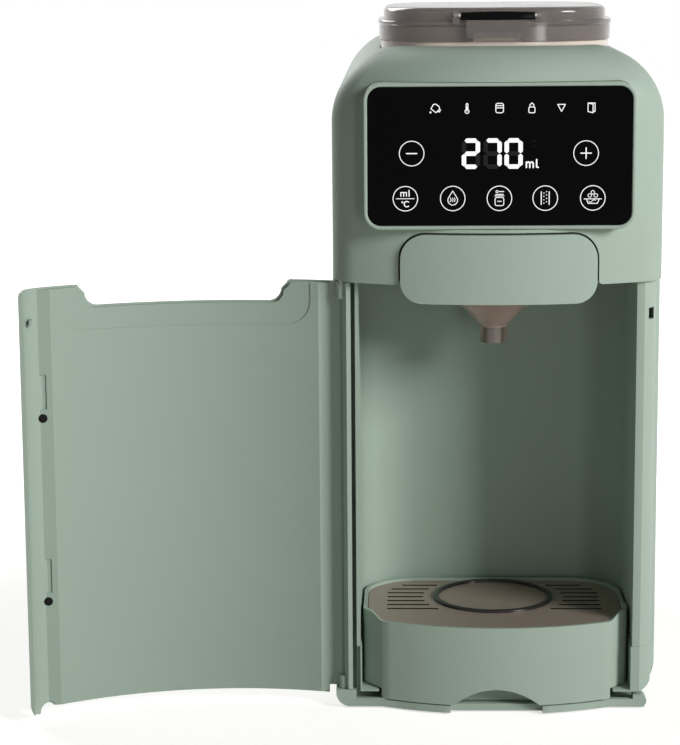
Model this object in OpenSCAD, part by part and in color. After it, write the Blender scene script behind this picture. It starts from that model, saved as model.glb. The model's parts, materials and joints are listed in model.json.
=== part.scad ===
// Baby formula maker with a hinged door. Millimetres, +Z up, the front faces -Y.
// The origin is on the table, under the centre of the body's outline.
// The door is drawn open, as far as its stop lets it turn.

/* [Body] */
// Width of the body
body_w = 180; // [150:1:220]
// Depth of the body, from the middle of the bowed front to the rear
body_d = 300; // [270:1:360]
// Height of the top of the head
body_h = 368; // [345:1:440]
// Height of the underside of the head
head_z = 242; // [230:1:262]
// Height of the seam between the main housing and the lower tub
seam_z = 36; // [30:1:40]
// Radius of the bow of the front, seen from above
front_bow_r = 190; // [170:1:260]
// Radius of the front corners, seen from above
front_corner_r = 20; // [18:1:24]
// Radius of the rear corners, seen from above
rear_corner_r = 25; // [18:1:32]
// Radius of the head's top corners, seen from the front
top_corner_r = 40; // [30:1:48]
// Radius of the head's front top edge, seen from the side
brow_r = 26; // [18:1:32]
// Depth of the head's front casing
casing_d = 51; // [46:1:60]
// Thickness of the housings
wall_t = 2.5; // [2:0.1:3]
// Clearance at the seam between two housings
seam_gap = 0.15; // [0.1:0.05:0.3]

/* [Bottle chamber] */
// Width of each side wall beside the chamber
side_w = 14.2; // [13:0.1:17]
// Depth of the chamber's back wall, from the front
chamber_d = 117; // [112:1:130]
// Radius of the chamber's back corners
chamber_r = 32; // [20:1:45]
// Thickness of the chamber liner
liner_t = 2; // [1.6:0.1:2.4]
// Height of the chamber floor
floor_z = 11.2; // [9.5:0.1:14]
// Step of the tub's inner face inwards from the liner
tub_step = 0.7; // [0.2:0.1:0.7]

/* [Door] */
// Thickness of the door
door_t = 5.5; // [4.8:0.1:6.5]
// Thickness of the door's outer skin
skin_t = 2.4; // [2:0.1:2.6]
// Clearance between the closed door and the walls behind it
door_gap = 0.4; // [0.3:0.1:0.8]
// Height of the door's lower edge
door_z0 = 6.2; // [5:0.1:8]
// Height of the lip at the door's free lower corner
door_lip_z = 1.4; // [1:0.1:3]
// Clearance between the door's top edge and the head
door_top_gap = 0.7; // [0.5:0.1:1.5]
// Angle that the door is open at its stop
door_open = 171; // [120:1:171]
// Radius of the hinge pins
door_pin_r = 1.25; // [1:0.05:1.4]
// Radial running clearance of every pin in its moving bore
pin_gap = 0.05; // [0.02:0.01:0.1]
// Half width of the notch for the drawer, at the door's top edge
notch_w = 56; // [55:0.5:60]
// Depth of that notch
notch_h = 11.8; // [11.5:0.1:14]
// Radius of the door's lower free corner
door_corner_r = 11; // [8:1:14]
// Radius of the door magnets
magnet_r = 2.5; // [2:0.1:2.8]

/* [Base] */
// Radius of the tub's lower corners, seen from the front
tub_r = 12; // [8:1:14]
// Radius of the rounded stub under the free side's wall
stub_r = 3.5; // [3:0.1:3.8]
// Height of the rubber feet below the base plate
foot_h = 1; // [0.8:0.1:2]
// Radius of the feet
foot_r = 9; // [7:0.5:12]
// Top of the base plate
plate_z = 4; // [3.5:0.1:5]
// Half width of the finger gap in the front lip
lip_gap_w = 25.6; // [20:0.1:30]

/* [Drip tray] */
// Clearance between the tray and the chamber walls
tray_gap = 0.8; // [0.5:0.1:1.5]
// Height of the tray's side rims
tray_rim_z = 54; // [48:0.5:60]
// Height of the tray's front rim
tray_front_z = 50.3; // [44:0.1:54]
// Thickness of the tray's walls
tray_t = 2.2; // [1.8:0.1:2.6]
// Radius of the bow of the tray's front
tray_bow_r = 150; // [130:1:200]
// Thickness of the drip plate
grate_t = 1.5; // [1.2:0.1:2]
// Outer radius of the raised ring on the plate
ring_r = 34.5; // [30:0.5:38]
// Pitch of the slots
slot_pitch = 8.3; // [7.5:0.1:9]
// Slots in each row
slot_count = 8; // [4:1:8]
// Width of a slot
slot_w = 1.9; // [1.5:0.1:2.4]

/* [Display] */
// Half width of the glass
glass_w = 70.2; // [60:0.1:71]
// Height of the glass's lower edge
glass_z0 = 274.6; // [272:0.1:280]
// Height of the glass
glass_h = 73.8; // [60:0.1:74]
// Corner radius of the glass
glass_r = 7.2; // [5:0.1:9]
// Width of the rim round the glass
rim_w = 2; // [1.5:0.1:2.5]

/* [Drawer] */
// Half width of the drawer front
drawer_w = 52.9; // [50:0.1:54]
// Distance that the drawer front hangs below the head
drawer_drop = 9.7; // [8:0.1:10.5]
// Height of the drawer front
drawer_h = 37.3; // [34:0.1:38]
// Clearance round the drawer front
drawer_gap = 1; // [0.8:0.1:1.5]
// Depth of the funnel's axis, from the front
funnel_d = 74; // [72:0.5:76]
// Outer radius of the funnel's top
funnel_r = 39; // [36:0.5:39]
// Wall of the funnel
funnel_t = 1.4; // [1:0.1:1.8]
// Height of the funnel's tip below the head
funnel_drop = 33; // [28:0.5:36]

/* [Hopper] */
// Depth of the hopper's centre, from the front
hopper_d = 105; // [104:0.5:107]
// Half width of the hopper's band under the lid
hopper_w = 63.7; // [58:0.1:64]
// How much deeper than wide the hopper is, to each side
hopper_long = 3; // [1:0.5:4]
// Exponent of the hopper's rounded square outline
hopper_power = 3.4; // [2.6:0.1:4.5]
// Wall of the hopper
hopper_t = 2; // [1.6:0.1:2.4]
// Height of the lid's plateau above the head
lid_h = 20.5; // [19:0.5:23]
// Radius of the dosing cup
cup_r = 44; // [43:0.5:46]
// Pockets in the metering wheel
pocket_count = 6; // [4:1:7]

/* [Dosing drive] */
// Module of the gears
gear_module = 1; // [0.9:0.05:1.05]
// Teeth of the drive gear, a multiple of four
gear_teeth = 44; // [40:4:44]
// Teeth of the motor pinion
pinion_teeth = 14; // [12:1:16]
// Thickness of the gears
gear_t = 6; // [5:0.5:7]

/* [Water tank] */
// Half width of the tank
tank_w = 60; // [50:1:64]
// Depth of the tank
tank_d = 72; // [60:1:76]
// Wall of the tank
tank_t = 2; // [1.6:0.1:2.6]

/* [Hidden] */

green = [0.55, 0.64, 0.57];
dark_green = [0.47, 0.56, 0.50];
smoke = [0.40, 0.37, 0.36];
clear_pink = [0.80, 0.74, 0.72];
steel = [0.72, 0.72, 0.72];
black = [0.06, 0.06, 0.07];
rubber = [0.16, 0.16, 0.17];
board_green = [0.10, 0.32, 0.20];

eps = 0.01;
far = body_w + body_d + body_h;
arc_step = 6;
front_y = -body_d / 2;
rear_y = body_d / 2;
half_w = body_w / 2;

// outline of the body, seen from above: a bow, two front corners and two rear corners
corner_x = half_w - front_corner_r;
bow_y = front_y + front_bow_r;
corner_y = bow_y - sqrt(pow(front_bow_r - front_corner_r, 2) - pow(corner_x, 2));
bow_a = asin(corner_x / (front_bow_r - front_corner_r));
rear_x = half_w - rear_corner_r;
rear_c = rear_y - rear_corner_r;

// places that other pieces share
casing_y = front_y + casing_d;
wall_front_y = corner_y - front_corner_r + door_t + door_gap;
chamber_w = half_w - side_w;
chamber_y = front_y + chamber_d;
liner_x = chamber_w + liner_t;
rebate = skin_t + 0.3;
rebate_r = front_corner_r - rebate;
hinge_x = -(half_w - 4.8);
hinge_y = wall_front_y + 4.7;
pocket_r = door_t + 1.8;
funnel_y = front_y + funnel_d;
hopper_y = front_y + hopper_d;
deck_z = head_z + 30;
deck_t = 3;
head_floor_t = 2.5;
bay_y = rear_y - 86;
tank_y = rear_y - 45;
tub_z = 9.8;
lug_z = 10.7;

function arc(c, r, a0, a1, first = 0) =
    let (n = max(2, ceil(abs(a1 - a0) / arc_step)))
    [for (i = [first : n]) c + r * [cos(a0 + (a1 - a0) * i / n), sin(a0 + (a1 - a0) * i / n)]];

// the body's outline, d inside its outer face
function plan(d) = concat(
    arc([0, bow_y], front_bow_r - d, 270 - bow_a, 270 + bow_a, 1),
    arc([corner_x, corner_y], front_corner_r - d, 270 + bow_a, 360, 1),
    arc([rear_x, rear_c], rear_corner_r - d, 0, 90),
    arc([-rear_x, rear_c], rear_corner_r - d, 90, 180),
    arc([-corner_x, corner_y], front_corner_r - d, 180, 270 - bow_a)
);

// the outline below the head: flat wall fronts, a rebate for the door's free edge
// and a round pocket for its hinge, d inside the outer face
function section(d) =
    let (
        r = rebate_r - d,
        p = pocket_r + d,
        x0 = -(half_w - d) + 1.2 - hinge_x,
        x1 = min(p, -liner_x - hinge_x),
        a_out = acos(x0 / p),
        a_in = acos(x1 / p)
    )
    concat(
        [[-chamber_w, wall_front_y + d]],
        arc([corner_x, corner_y], r, asin((wall_front_y + d - corner_y) / r), 0),
        [[corner_x + r, corner_y + 1.5 + 0.3 * d], [half_w - d, corner_y + 6 + 0.3 * d]],
        arc([rear_x, rear_c], rear_corner_r - d, 0, 90),
        arc([-rear_x, rear_c], rear_corner_r - d, 90, 180),
        [[-half_w + d, hinge_y + pocket_r + 0.4 + d]],
        arc([hinge_x, hinge_y], p, a_out, a_in),
        [[-chamber_w, hinge_y + p * sin(a_in)]]
    );

// the bottle chamber seen from above, d outside the liner's visible face
function chamber(d) = concat(
    [[-chamber_w - d, front_y], [chamber_w + d, front_y]],
    arc([chamber_w - chamber_r, chamber_y - chamber_r], chamber_r + d, 0, 90),
    arc([-chamber_w + chamber_r, chamber_y - chamber_r], chamber_r + d, 90, 180)
);

// the head seen from the front, with its rounded top corners
function head_front(d, z0) = concat(
    [[-half_w + d, z0], [half_w - d, z0]],
    arc([half_w - top_corner_r, body_h - top_corner_r], top_corner_r - d, 0, 90),
    arc([-half_w + top_corner_r, body_h - top_corner_r], top_corner_r - d, 90, 180)
);

// the head seen from the side, with its rounded front top edge
function head_side(d, z0) = concat(
    [[far, z0], [far, body_h - d]],
    arc([front_y + brow_r, body_h - brow_r], brow_r - d, 90, 180),
    [[front_y + d, z0]]
);

// the tub seen from the front, with its rounded lower corners
function tub_front(d) = concat(
    arc([half_w - tub_r, tub_z + tub_r], tub_r - d, 270, 360),
    [[half_w - d, seam_z + 1], [-half_w + d, seam_z + 1]],
    arc([-half_w + tub_r, tub_z + tub_r], tub_r - d, 180, 270)
);

// rounded square with bowed sides, a wide to each side of the hopper's axis
function hopper_plan(a) =
    [for (t = [0 : 7.5 : 352.5])
        [
            a * sign(cos(t)) * pow(abs(cos(t)), 2 / hopper_power),
            hopper_y + (a + hopper_long) * sign(sin(t)) * pow(abs(sin(t)), 2 / hopper_power)
        ]];

// rounded rectangle in the plane of the sheet, from its half width and its two heights
function panel(w, z0, z1, r) = concat(
    arc([w - r, z0 + r], r, 270, 360),
    arc([w - r, z1 - r], r, 0, 90),
    arc([-w + r, z1 - r], r, 90, 180),
    arc([-w + r, z0 + r], r, 180, 270)
);

module up(z0, z1) translate([0, 0, z0]) linear_extrude(z1 - z0) children();
module along_y(y0, y1) translate([0, y1, 0]) rotate([90, 0, 0]) linear_extrude(y1 - y0) children();
module along_x(x0, x1) translate([x0, 0, 0]) rotate([90, 0, 90]) linear_extrude(x1 - x0) children();
module block(x0, x1, y0, y1, z0, z1) translate([x0, y0, z0]) cube([x1 - x0, y1 - y0, z1 - z0]);
module post(x, y, z0, z1, r) translate([x, y, z0]) cylinder(h = z1 - z0, r = r, $fn = 48);
module rod_y(x, z, y0, y1, r) translate([x, y1, z]) rotate([90, 0, 0]) cylinder(h = y1 - y0, r = r, $fn = 48);
module rod_x(y, z, x0, x1, r) translate([x0, y, z]) rotate([0, 90, 0]) cylinder(h = x1 - x0, r = r, $fn = 48);
module both_sides() {
    children();
    mirror([1, 0, 0]) children();
}

// ---- base -----------------------------------------------------------------------------

foot_places = [for (x = [-1, 1], y = [-1, 1]) [x * (half_w - 28), y * (rear_y - 42)]];
base_screw_places = [for (x = [-1, 1], y = [0, 1]) [x * (half_w - 16), y * (rear_y - 30) - 8]];
plate_in = 7;
plate_front_y = wall_front_y - 0.2;
lip_top_z = 5;
bar_top_z = 5.6;
stub_x = half_w - 9.3;

function plate_outline() = concat(
    [[-half_w + plate_in, plate_front_y], [half_w - plate_in, plate_front_y]],
    arc([rear_x, rear_c], rear_corner_r - plate_in, 0, 90),
    arc([-rear_x, rear_c], rear_corner_r - plate_in, 90, 180)
);

// the tray's front block: a bow between two points on the diagonals
tray_y = front_y + 7;
block_w = 64;
function tray_bow(w, d) = tray_y + tray_bow_r - sqrt(pow(tray_bow_r - d, 2) - pow(w, 2));
function bow_points(w, d, n) = [for (i = [-n : n]) [w * i / n, tray_bow(w * i / n, d)]];

module front_lip() difference() {
    up(foot_h, lip_top_z) polygon(concat(
        bow_points(58, 0, 8),
        [[66, plate_front_y + 1], [-66, plate_front_y + 1]]
    ));
    block(-lip_gap_w, lip_gap_w, front_y - 1, wall_front_y - 7, 0, far);
}

// lug under the door's lower hinge, its outer lower edge well rounded
module hinge_lug() intersection() {
    union() {
        post(hinge_x, hinge_y, foot_h, lug_z, pocket_r - 0.4);
        block(-half_w, -liner_x - 0.4, plate_front_y, hinge_y, foot_h, lug_z);
    }
    along_y(plate_front_y, hinge_y + pocket_r) polygon(concat(
        arc([-half_w + 8.5, foot_h + 8], 8, 180, 270),
        [[-liner_x - 0.4, foot_h], [-liner_x - 0.4, lug_z], [-half_w + 0.5, lug_z]]
    ));
}

// rounded stub under the free side's wall
module end_stub() along_y(plate_front_y, plate_front_y + 9) polygon(concat(
    [[stub_x - 4, foot_h]],
    arc([stub_x, foot_h + stub_r], stub_r, 270, 450),
    [[stub_x - 4, foot_h + 2 * stub_r]]
));

module base_plate() color(green) difference() {
    union() {
        up(foot_h, plate_z) polygon(plate_outline());
        block(-half_w + plate_in, half_w - plate_in - 2, plate_front_y, plate_front_y + 3, foot_h, bar_top_z);
        front_lip();
        end_stub();
        hinge_lug();
    }
    block(-lip_gap_w, lip_gap_w, plate_front_y - 1, plate_front_y + 1, 0, 2);
    post(hinge_x, hinge_y, 2.5, far, door_pin_r);
    for (p = foot_places) post(p[0], p[1], 0, foot_h + 1, foot_r);
    for (p = base_screw_places) {
        post(p[0], p[1], 0, far, 1.6);
        post(p[0], p[1], 0, 2.5, 3.2);
    }
}

module base_feet() color(rubber) for (p = foot_places) post(p[0], p[1], 0, foot_h + 1, foot_r);

module base_screws() color(steel) for (p = base_screw_places) {
    post(p[0], p[1], 1.3, 2.5, 2.8);
    post(p[0], p[1], 2.5, 13, 1.5);
}

// space of the tray's front block and of the slope beside it, in the tub's floor
module tray_way() {
    block(-block_w - 1.5, block_w + 1.5, front_y, wall_front_y + 16, -1, floor_z + 1);
    along_x(-chamber_w + tub_step, chamber_w - tub_step) polygon([
        [wall_front_y - 1, tub_z - 1], [wall_front_y - 1, far], [wall_front_y + 14, far],
        [wall_front_y + 14, floor_z], [wall_front_y, tub_z + 0.8]
    ]);
}

module base_tub() color(green) difference() {
    union() {
        difference() {
            intersection() {
                up(tub_z, seam_z - seam_gap) polygon(section(0));
                along_y(front_y, rear_y) polygon(tub_front(0));
            }
            // the hollow round the chamber, open to the plate below and the housing above
            difference() {
                intersection() {
                    up(0, seam_z + 1) polygon(section(wall_t));
                    along_y(front_y, rear_y) polygon(tub_front(wall_t));
                }
                up(0, far) polygon(chamber(liner_t));
            }
            // the chamber itself, above and below its floor
            up(floor_z, far) polygon(chamber(-tub_step));
            intersection() {
                up(0, floor_z - wall_t) polygon(chamber(-tub_step - 1));
                block(-far, far, wall_front_y + 18, far, 0, floor_z - wall_t);
            }
            block(-rear_x, rear_x, chamber_y + 6, rear_c, 0, tub_z + wall_t + 1);
        }
        for (p = base_screw_places) post(p[0], p[1], plate_z, 16, 4);
    }
    tray_way();
    for (p = base_screw_places) post(p[0], p[1], 0, 14, 1.5);
    block(33, 57, rear_y - 10, rear_y + 1, 14, 30);
}

// ---- housings -------------------------------------------------------------------------

// the head's outer volume, d inside its face, from z0 up
module head_volume(d, z0) intersection() {
    up(z0, body_h + 1) polygon(plan(d));
    along_y(front_y - 1, rear_y + 1) polygon(head_front(d, z0));
    along_x(-half_w - 1, half_w + 1) polygon(head_side(d, z0));
}

module hopper_opening() up(body_h - 12, body_h + 1) polygon(hopper_plan(hopper_w + 0.7));

tank_y0 = tank_y - tank_d / 2;
tank_y1 = tank_y + tank_d / 2;
bay_z = seam_z + 8;
dock_top_z = bay_z + 8;
cover_w = rear_x - 1;
cover_z0 = seam_z + 6;
cover_z1 = body_h - 28;
ledge = 8;

module tank_opening() block(-tank_w - 3, tank_w + 3, tank_y0 - 2, tank_y1 + 2, body_h - 12, body_h + 1);

module body_shell() color(green) difference() {
    union() {
        // skins below the head, and behind the front casing above
        difference() {
            union() {
                up(seam_z, head_z - seam_gap) polygon(section(0));
                intersection() {
                    head_volume(0, head_z - 2);
                    block(-far, far, casing_y + seam_gap, far, 0, far);
                }
            }
            union() {
                up(seam_z - 1, head_z) polygon(section(wall_t));
                intersection() {
                    head_volume(wall_t, head_z - 3);
                    block(-far, far, casing_y - 8, rear_y, 0, far);
                }
            }
            up(seam_z - 1, head_z + 1) polygon(chamber(liner_t));
        }
        // wall and floor of the tank's bay
        difference() {
            intersection() {
                union() {
                    block(-far, far, bay_y - wall_t, bay_y, bay_z, far);
                    block(-far, far, bay_y - wall_t, far, bay_z, bay_z + wall_t);
                }
                up(seam_z, body_h) polygon(plan(1));
                along_y(front_y, rear_y) polygon(head_front(1, seam_z));
            }
            post(0, tank_y, 0, far, 10);
        }
        for (x = [-1, 1], y = [tank_y0 + 12, tank_y1 - 12])
            post(x * (tank_w - 12), y, bay_z, dock_top_z, 5);
        // ledge that the rear cover is screwed to
        difference() {
            along_y(rear_y - 2 * wall_t, rear_y - wall_t) polygon(panel(cover_w + 3, cover_z0 - 3, cover_z1 + 3, 8));
            along_y(rear_y - far, rear_y) polygon(panel(cover_w - ledge, cover_z0 + ledge, cover_z1 - ledge, 4));
        }
        // sleeve that holds the front casing's tongues
        for (x = [-1, 1]) translate([x * (half_w - wall_t - 3), 0, 0])
            block(-3, 3, casing_y + seam_gap, casing_y + 12, head_z + 60, head_z + 63);
    }
    hopper_opening();
    tank_opening();
    along_y(rear_y - wall_t, rear_y + 1) polygon(panel(cover_w + 0.2, cover_z0 - 0.2, cover_z1 + 0.2, 6.2));
    for (p = cover_screw_places) rod_y(p[0], p[1], rear_y - 3 * wall_t, rear_y, 1.5);
    // slot for the door's sensor tab
    block(corner_x + 12.2, corner_x + 15.4, wall_front_y + 2, wall_front_y + 11, slot_z, slot_z + 6.4);
}

slot_z = head_z - 21.6;
cover_screw_places = [for (x = [-1, 1], z = [cover_z0 + 4.5, cover_z1 - 4.5]) [x * (cover_w - 4.5), z]];
window_w = 12;

// rear cover with a level window and two rows of vents
module rear_cover() color(green) difference() {
    along_y(rear_y - wall_t, rear_y) polygon(panel(cover_w, cover_z0, cover_z1, 6));
    along_y(rear_y - far, rear_y + 1) polygon(panel(window_w, cover_z0 + 50, cover_z1 - 40, window_w - 1));
    for (x = [-1, 1], i = [0 : 6])
        translate([x * 38, 0, cover_z1 - 24 - 7 * i])
            block(-14, 14, rear_y - far, rear_y + 1, -1.3, 1.3);
    for (p = cover_screw_places) {
        rod_y(p[0], p[1], rear_y - far, rear_y + 1, 1.6);
        rod_y(p[0], p[1], rear_y - 1.2, rear_y + 1, 2.7);
    }
}

module cover_screws() color(steel) for (p = cover_screw_places) {
    rod_y(p[0], p[1], rear_y - 1.2, rear_y - 0.1, 2.5);
    rod_y(p[0], p[1], rear_y - 3 * wall_t, rear_y - 1.2, 1.5);
}

module chamber_liner() color(dark_green) union() {
    difference() {
        up(seam_z, head_z - seam_gap) polygon(chamber(liner_t));
        up(seam_z - 1, head_z + 1) polygon(chamber(0));
        block(-far, far, front_y - 1, wall_front_y, 0, far);
    }
    for (p = board_places) {
        rod_y(p[0], p[1], chamber_y + liner_t - 0.5, power_board_y, 3);
        rod_y(p[0], p[1], chamber_y + liner_t, power_board_y + 3, 1.4);
    }
}

// casing round the display and the drawer
module head_shell() color(green) difference() {
    union() {
        intersection() {
            difference() {
                head_volume(0, head_z);
                head_volume(wall_t, head_z - 1);
            }
            block(-far, far, front_y - 1, casing_y, 0, far);
        }
        // boss of the upper hinge pin
        intersection() {
            post(hinge_x, hinge_y, head_z, head_z + 10, 4.5);
            head_volume(1, head_z);
        }
        // tongues that enter the main housing
        both_sides() {
            block(half_w - wall_t - 5, half_w - wall_t + 0.5, casing_y - 12, casing_y, head_z + 56.5, head_z + 59.7);
            block(half_w - wall_t - 5, half_w - wall_t - 0.2, casing_y - 12, casing_y + 9, head_z + 56.5, head_z + 59.7);
        }
    }
    hopper_opening();
    along_y(front_y - 1, casing_y) polygon(panel(
        glass_w + rim_w + 0.2, glass_z0 - rim_w - 0.2, glass_z0 + glass_h + rim_w + 0.2, glass_r + rim_w));
    along_y(front_y - 1, front_y + 25) polygon(panel(
        drawer_w + drawer_gap, head_z - 20, head_z - drawer_drop + drawer_h + drawer_gap, 13.8 + drawer_gap));
    post(hinge_x, hinge_y, 0, head_z + 9, door_pin_r);
}

// ceiling of the chamber, with the funnel's way open to the front
module head_floor() color(dark_green) difference() {
    intersection() {
        up(head_z, head_z + head_floor_t) polygon(plan(wall_t + 0.2));
        block(-far, far, front_y, chamber_y + 10, 0, far);
    }
    post(0, funnel_y, 0, far, funnel_r + 1.5);
    block(-funnel_r - 1.5, funnel_r + 1.5, front_y - 1, funnel_y, 0, far);
    block(-drawer_w - 2, drawer_w + 2, front_y - 1, drawer_back_y + 0.6, 0, far);
    post(hinge_x, hinge_y, 0, far, 4.7);
}

// ---- dosing drive ---------------------------------------------------------------------

gear_z = deck_z - 1.5 - gear_t;
gear_centres = gear_module * (gear_teeth + pinion_teeth) / 2;
pinion_y = hopper_y + gear_centres;
shaft_r = 4;
bush_r = 6;
pocket_circle_r = hopper_y - funnel_y;
hopper_z = deck_z + 6;
dog = 7;
nozzle_x = 24;
nozzle_y = funnel_y - 16;
deck_legs = [for (x = [-1, 1], y = [funnel_y - 20, hopper_y + 33]) [x * 60, y]];

// a straight-sided gear, its teeth narrow enough to run with a little backlash
module gear(teeth, t) linear_extrude(t) polygon([
    for (i = [0 : teeth - 1], s = [[-0.78, -1.15], [-0.32, 0.85], [0.32, 0.85], [0.78, -1.15]])
        let (r = gear_module * (teeth / 2 + s[1]), a = 360 * i / teeth + s[0] * gear_module / r * 180 / PI)
        [r * cos(a), r * sin(a)]
]);

module drive_deck() color(dark_green) difference() {
    union() {
        block(-66, 66, funnel_y - 26, hopper_y + 39, deck_z, deck_z + deck_t);
        for (p = deck_legs) post(p[0], p[1], head_z + head_floor_t, deck_z + 1, 4);
    }
    post(0, hopper_y, 0, far, bush_r);
    post(0, funnel_y, 0, far, 7.5);
    post(nozzle_x, nozzle_y, 0, far, 3.2);
}

module shaft_bush() color(steel) difference() {
    union() {
        post(0, hopper_y, deck_z - 0.5, deck_z + deck_t + 1.5, bush_r);
        post(0, hopper_y, deck_z + deck_t, deck_z + deck_t + 1.5, bush_r + 2);
    }
    post(0, hopper_y, 0, far, shaft_r + pin_gap);
}

module drive_gear() color("ivory") {
    translate([0, hopper_y, gear_z]) rotate([0, 0, 90]) gear(gear_teeth, gear_t);
    post(0, hopper_y, gear_z, deck_z + deck_t + 1.8, shaft_r);
    post(0, hopper_y, deck_z + deck_t + 1.8, hopper_z + 1, 5.5);
    translate([0, hopper_y, hopper_z + 1]) linear_extrude(9) square(dog, center = true);
}

module motor_pinion() color("ivory") {
    translate([0, pinion_y, gear_z]) rotate([0, 0, 270 + 180 / pinion_teeth]) gear(pinion_teeth, gear_t);
    post(0, pinion_y, gear_z - 8, gear_z + 0.5, 1.5);
}

module dosing_motor() color(steel) difference() {
    union() {
        post(0, pinion_y, head_z + head_floor_t, gear_z - 1.5, 11.5);
        block(-16, 16, pinion_y - 4, pinion_y + 4, head_z + head_floor_t, head_z + head_floor_t + 2);
    }
    post(0, pinion_y, gear_z - 8.5, far, 1.5 + pin_gap);
}

// ---- display --------------------------------------------------------------------------

glass_y = front_y + 1.6;
glass_t = 1.8;
bezel_y = front_y + 0.6;
bezel_d = 16.4;
board_y = front_y + 12;
board_t = 1.6;
board_posts = [for (x = [-1, 1], z = [glass_z0 + 7, glass_z0 + glass_h - 7]) [x * (glass_w - 8), z]];

module glass_frame(grow, y0, y1) along_y(y0, y1)
    polygon(panel(glass_w + grow, glass_z0 - grow, glass_z0 + glass_h + grow, glass_r + grow));

module display_bezel() color(green) {
    difference() {
        glass_frame(rim_w, bezel_y, bezel_y + bezel_d);
        glass_frame(0, bezel_y - 1, glass_y + glass_t);
        glass_frame(-2, bezel_y - 1, bezel_y + bezel_d + 1);
    }
    for (p = board_posts) difference() {
        rod_y(p[0], p[1], glass_y + glass_t, board_y, 6.5);
        rod_y(p[0], p[1], glass_y + glass_t + 1, board_y + 1, 1.2);
    }
}

module display_glass() color(black) glass_frame(-0.1, glass_y, glass_y + glass_t);

module control_board() color(board_green) difference() {
    union() {
        glass_frame(-3, board_y, board_y + board_t);
        block(-30, 10, board_y + board_t, board_y + board_t + 4, glass_z0 + 20, glass_z0 + 45);
        block(20, 45, board_y + board_t, board_y + board_t + 7, glass_z0 + 12, glass_z0 + 22);
    }
    for (p = board_posts) rod_y(p[0], p[1], board_y - 1, board_y + board_t + 1, 1.4);
}

module board_screws() color(steel) for (p = board_posts) {
    rod_y(p[0], p[1], board_y + board_t, board_y + board_t + 1.6, 2.6);
    rod_y(p[0], p[1], glass_y + glass_t + 2, board_y + board_t, 1.2);
}

// ---- drawer ---------------------------------------------------------------------------

drawer_y = front_y - 2;
drawer_back_y = front_y + 9.5;
drawer_z0 = head_z - drawer_drop;
drawer_z1 = drawer_z0 + drawer_h;
carrier_z = head_z + 16.5;
carrier_t = 2;
carrier_end_y = chamber_y + 31;
arm_x = 46;
rail_x = arm_x + 4.4;

module drawer_outline(y0, y1, d) along_y(y0, y1) polygon(concat(
    arc([drawer_w - 11.7, drawer_z0 + 11.7], 11.7 - d, 270, 360),
    arc([drawer_w - 13.8, drawer_z1 - 13.8], 13.8 - d, 0, 90),
    arc([-drawer_w + 13.8, drawer_z1 - 13.8], 13.8 - d, 90, 180),
    arc([-drawer_w + 11.7, drawer_z0 + 11.7], 11.7 - d, 180, 270)
));

module drawer_front() color(green) difference() {
    drawer_outline(drawer_y, drawer_back_y, 0);
    drawer_outline(drawer_y + 3, drawer_back_y + 1, 2.4);
}

module drawer_carrier() color(dark_green) difference() {
    union() {
        // back plate inside the front, plate round the funnel, and two arms with runners
        drawer_outline(drawer_back_y - 4, drawer_back_y + 0.5, 2.5);
        block(-arm_x - 4, arm_x + 4, drawer_back_y + 0.2, funnel_y, carrier_z, carrier_z + carrier_t);
        intersection() {
            post(0, funnel_y, carrier_z, carrier_z + carrier_t, arm_x + 2);
            block(-arm_x - 4, arm_x + 4, funnel_y - eps, funnel_y + funnel_r + 6.5, 0, far);
        }
        both_sides() {
            block(arm_x, arm_x + 4, drawer_back_y + 0.2, carrier_end_y, head_z + 6, carrier_z + carrier_t);
            block(arm_x + 3, arm_x + 6, drawer_back_y + 26, carrier_end_y, head_z + 9, head_z + 11);
        }
    }
    post(0, funnel_y, 0, far, funnel_r + 0.3);
}

module drawer_rails() color(dark_green) both_sides() difference() {
    block(rail_x, rail_x + 5, front_y + 34, carrier_end_y + 4, head_z + head_floor_t, head_z + 15);
    block(rail_x - 1, arm_x + 6.4, front_y + 33, carrier_end_y + 1, head_z + 8.6, head_z + 11.4);
}

// the funnel's outer radius at each height, its wall and its flange
funnel_tip_z = head_z - funnel_drop;
funnel_top_z = carrier_z + carrier_t + 1.5;
throat_r = 4.5;
funnel_mid_z = funnel_tip_z + 12;

module mixing_funnel() color(clear_pink) translate([0, funnel_y, 0]) rotate_extrude($fn = 72) polygon([
    [throat_r, funnel_tip_z], [8, funnel_tip_z], [19, funnel_mid_z],
    [funnel_r - 1, head_z], [funnel_r, carrier_z + carrier_t], [funnel_r + 3, carrier_z + carrier_t],
    [funnel_r + 3, funnel_top_z], [funnel_r - funnel_t, funnel_top_z],
    [funnel_r - 1 - funnel_t, head_z + 0.4], [19 - funnel_t, funnel_mid_z + 1], [throat_r, funnel_tip_z + 3.5]
]);

module funnel_outlet() color(smoke) translate([0, funnel_y, 0]) rotate_extrude($fn = 60) polygon([
    [throat_r, funnel_tip_z], [7.8, funnel_tip_z], [7.8, funnel_tip_z - 9],
    [throat_r - 0.5, funnel_tip_z - 9], [throat_r - 0.5, funnel_tip_z - 1], [throat_r, funnel_tip_z - 1]
]);

// ---- hopper ---------------------------------------------------------------------------

cup_z1 = hopper_z + 22;
taper_z = cup_z1 + 36;
rim_z = body_h + 10;
rim_w2 = hopper_w - 2.2;
wheel_r = cup_r - hopper_t - 0.5;
wheel_z = hopper_z + 3.5;
wheel_t = 8.5;
lid_pivot_y = hopper_y + hopper_w + hopper_long + 5;
lid_pivot_z = body_h + 6.5;
knuckle_r = 3;
lid_pin_r = 1.3;

// a round cup that widens to the outline of half width w
module hopper_volume(z0, z1, r, w) {
    post(0, hopper_y, z0, cup_z1, r);
    hull() {
        post(0, hopper_y, cup_z1 - 0.5, cup_z1, r);
        up(taper_z, taper_z + 0.5) polygon(hopper_plan(w));
    }
    up(taper_z, z1) polygon(hopper_plan(w));
}

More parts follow.
